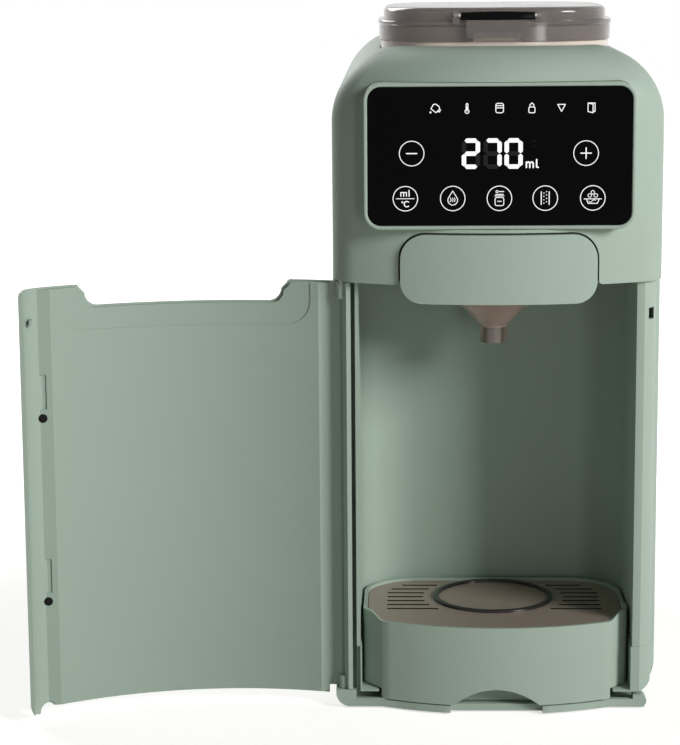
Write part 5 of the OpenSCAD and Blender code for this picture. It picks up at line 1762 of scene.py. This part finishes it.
@dataclass(frozen=True)
class Studio:
    """Plain floor, soft lamps and the photograph's camera."""

    focal_pixels: float = 2365.0
    position: Point3 = (-48.2, -1403.8, 423.3)
    pitch: float = 10.29
    yaw: float = 1.701
    roll: float = -0.431
    ambient: float = 0.06
    key: float = 47.0
    key_turn: float = 48.0
    key_lift: float = 22.0
    key_size: float = 0.7
    card: float = 1.2
    rear: float = 40.0
    near_glow: float = 0.66
    far_glow: float = 1.0
    fade_start: float = 0.22
    fade_end: float = 0.50
    floor_color: Color = (0.62, 0.60, 0.57)
    key_away: float = 2.3
    rear_place: Point3 = (-1.25, 1.75, 1.5)
    rear_size: float = 1.4
    card_place: Point3 = (0.33, -1.32, 0.17)
    card_size: Point2 = (0.12, 0.40)

    def camera(self) -> None:
        """Puts the camera where the photograph was taken from."""
        data = bpy.data.cameras.new("photo_camera")
        data.sensor_width = 36.0
        data.lens = 36.0 * self.focal_pixels / IMAGE_LONG_SIDE
        data.clip_start, data.clip_end = 0.01, 50.0
        made = bpy.data.objects.new("photo_camera", data)
        bpy.context.scene.collection.objects.link(made)
        made.matrix_world = (
            Matrix.Translation(Vector(self.position) * MM)
            @ Matrix.Rotation(math.radians(self.yaw), 4, "Z")
            @ Matrix.Rotation(math.radians(90 - self.pitch), 4, "X")
            @ Matrix.Rotation(math.radians(self.roll), 4, "Z")
        )
        bpy.context.scene.camera = made

    @staticmethod
    def lamp(name: str, place: Point3, aim: Point3, power: float, size: Point2) -> None:
        """Adds a soft lamp.

        Args:
            name: Name of the lamp.
            place: Where it hangs, in metres.
            aim: What it points at.
            power: Its power in watts.
            size: Its width and height in metres.
        """
        data = bpy.data.lights.new(name, "AREA")
        data.shape, data.energy = "RECTANGLE", power
        data.size, data.size_y = size
        made = bpy.data.objects.new(name, data)
        bpy.context.scene.collection.objects.link(made)
        way = (Vector(aim) - Vector(place)).to_track_quat("-Z", "Y").to_matrix().to_4x4()
        made.matrix_world = Matrix.Translation(place) @ way

    @staticmethod
    def seen(tree: Tree) -> bpy.types.NodeSocket:
        """One where the camera, glass or gloss looks, and nought for the light on the object."""
        rays = tree.add("ShaderNodeLightPath").outputs
        direct = tree.math("MAXIMUM", rays["Is Camera Ray"], rays["Is Transmission Ray"])
        return tree.math("MAXIMUM", direct, rays["Is Glossy Ray"])

    def world(self) -> None:
        """White where it is seen or mirrored, and a weaker light on the object."""
        world = bpy.data.worlds.new("studio")
        bpy.context.scene.world = world
        world.use_nodes = True
        tree = Tree(world.node_tree)
        back = world.node_tree.nodes["Background"]
        seen = self.seen(tree)
        strength = tree.add("ShaderNodeMapRange", Value=seen)
        strength.inputs["To Min"].default_value = self.ambient
        strength.inputs["To Max"].default_value = 1.0
        tree.put(back.inputs["Strength"], strength.outputs[0])
        back.inputs["Color"].default_value = (1, 1, 1, 1)

    def floor(self) -> None:
        """A pale floor that keeps the object's shadow and fades to white."""
        mesh = bpy.data.meshes.new("floor")
        mesh.from_pydata([(-4, -3, 0), (4, -3, 0), (4, 6, 0), (-4, 6, 0)], [], [(0, 1, 2, 3)])
        made = bpy.data.objects.new("floor", mesh)
        bpy.context.scene.collection.objects.link(made)
        paint = bpy.data.materials.new("floor_white")
        paint.use_nodes = True
        tree = Tree(paint.node_tree)
        nodes = paint.node_tree.nodes
        nodes.remove(nodes["Principled BSDF"])
        matt = tree.add("ShaderNodeBsdfDiffuse", Color=(*self.floor_color, 1))
        glow = tree.add("ShaderNodeEmission", Color=(1, 1, 1, 1))
        seen = self.seen(tree)
        place = tree.add("ShaderNodeTexCoord").outputs["Object"]
        away = tree.add(
            "ShaderNodeVectorMath", {"operation": "DISTANCE"}, _0=place, _1=(-0.08, 0.0, 0.0)
        ).outputs["Value"]
        fade = tree.add("ShaderNodeMapRange", {"interpolation_type": "SMOOTHSTEP"}, Value=away)
        for key, value in (
            ("From Min", self.fade_start), ("From Max", self.fade_end), ("To Min", self.near_glow),
            ("To Max", self.far_glow)
        ):
            fade.inputs[key].default_value = value
        tree.put(glow.inputs["Strength"], tree.math("MULTIPLY", seen, fade.outputs[0]))
        both = tree.add("ShaderNodeAddShader", _0=matt.outputs[0], _1=glow.outputs[0])
        tree.put(nodes["Material Output"].inputs["Surface"], both.outputs[0])
        mesh.materials.append(paint)

    def build(self) -> None:
        """Sets the whole studio up."""
        bpy.context.scene.view_settings.view_transform = "Standard"
        self.camera()
        self.world()
        self.floor()
        turn, lift, away = math.radians(self.key_turn), math.radians(self.key_lift), self.key_away
        flat = away * math.cos(lift)
        place = (flat * math.sin(turn), -flat * math.cos(turn), 0.2 + away * math.sin(lift))
        self.lamp("key", place, (0.0, -0.05, 0.2), self.key, (self.key_size, self.key_size))
        self.lamp(
            "rear", self.rear_place, (0.0, 0.0, 0.15), self.rear, (self.rear_size, self.rear_size)
        )
        self.lamp("card", self.card_place, (0.0, -0.1, 0.3), self.card, self.card_size)


# ---- the whole ------------------------------------------------------------------------------


def main() -> None:
    """Builds the machine's looks round the frame and sets up the studio."""
    logging.basicConfig(level=logging.INFO, format="%(name)s: %(message)s")
    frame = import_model()
    Studio().build()
    shop = Workshop(frame)
    for part in (
        Head(shop), Housing(shop), Door(shop), Drawer(shop), Hopper(shop), Tray(shop),
        WaterSystem(shop)
    ):
        part.build()
        LOG.info("%s done", type(part).__name__)
    for node in sorted(shop.left):
        LOG.info("node %s keeps its CAD mesh", node)
        shop.dress(node, Look.STEEL)


if __name__ == "__main__":
    main()
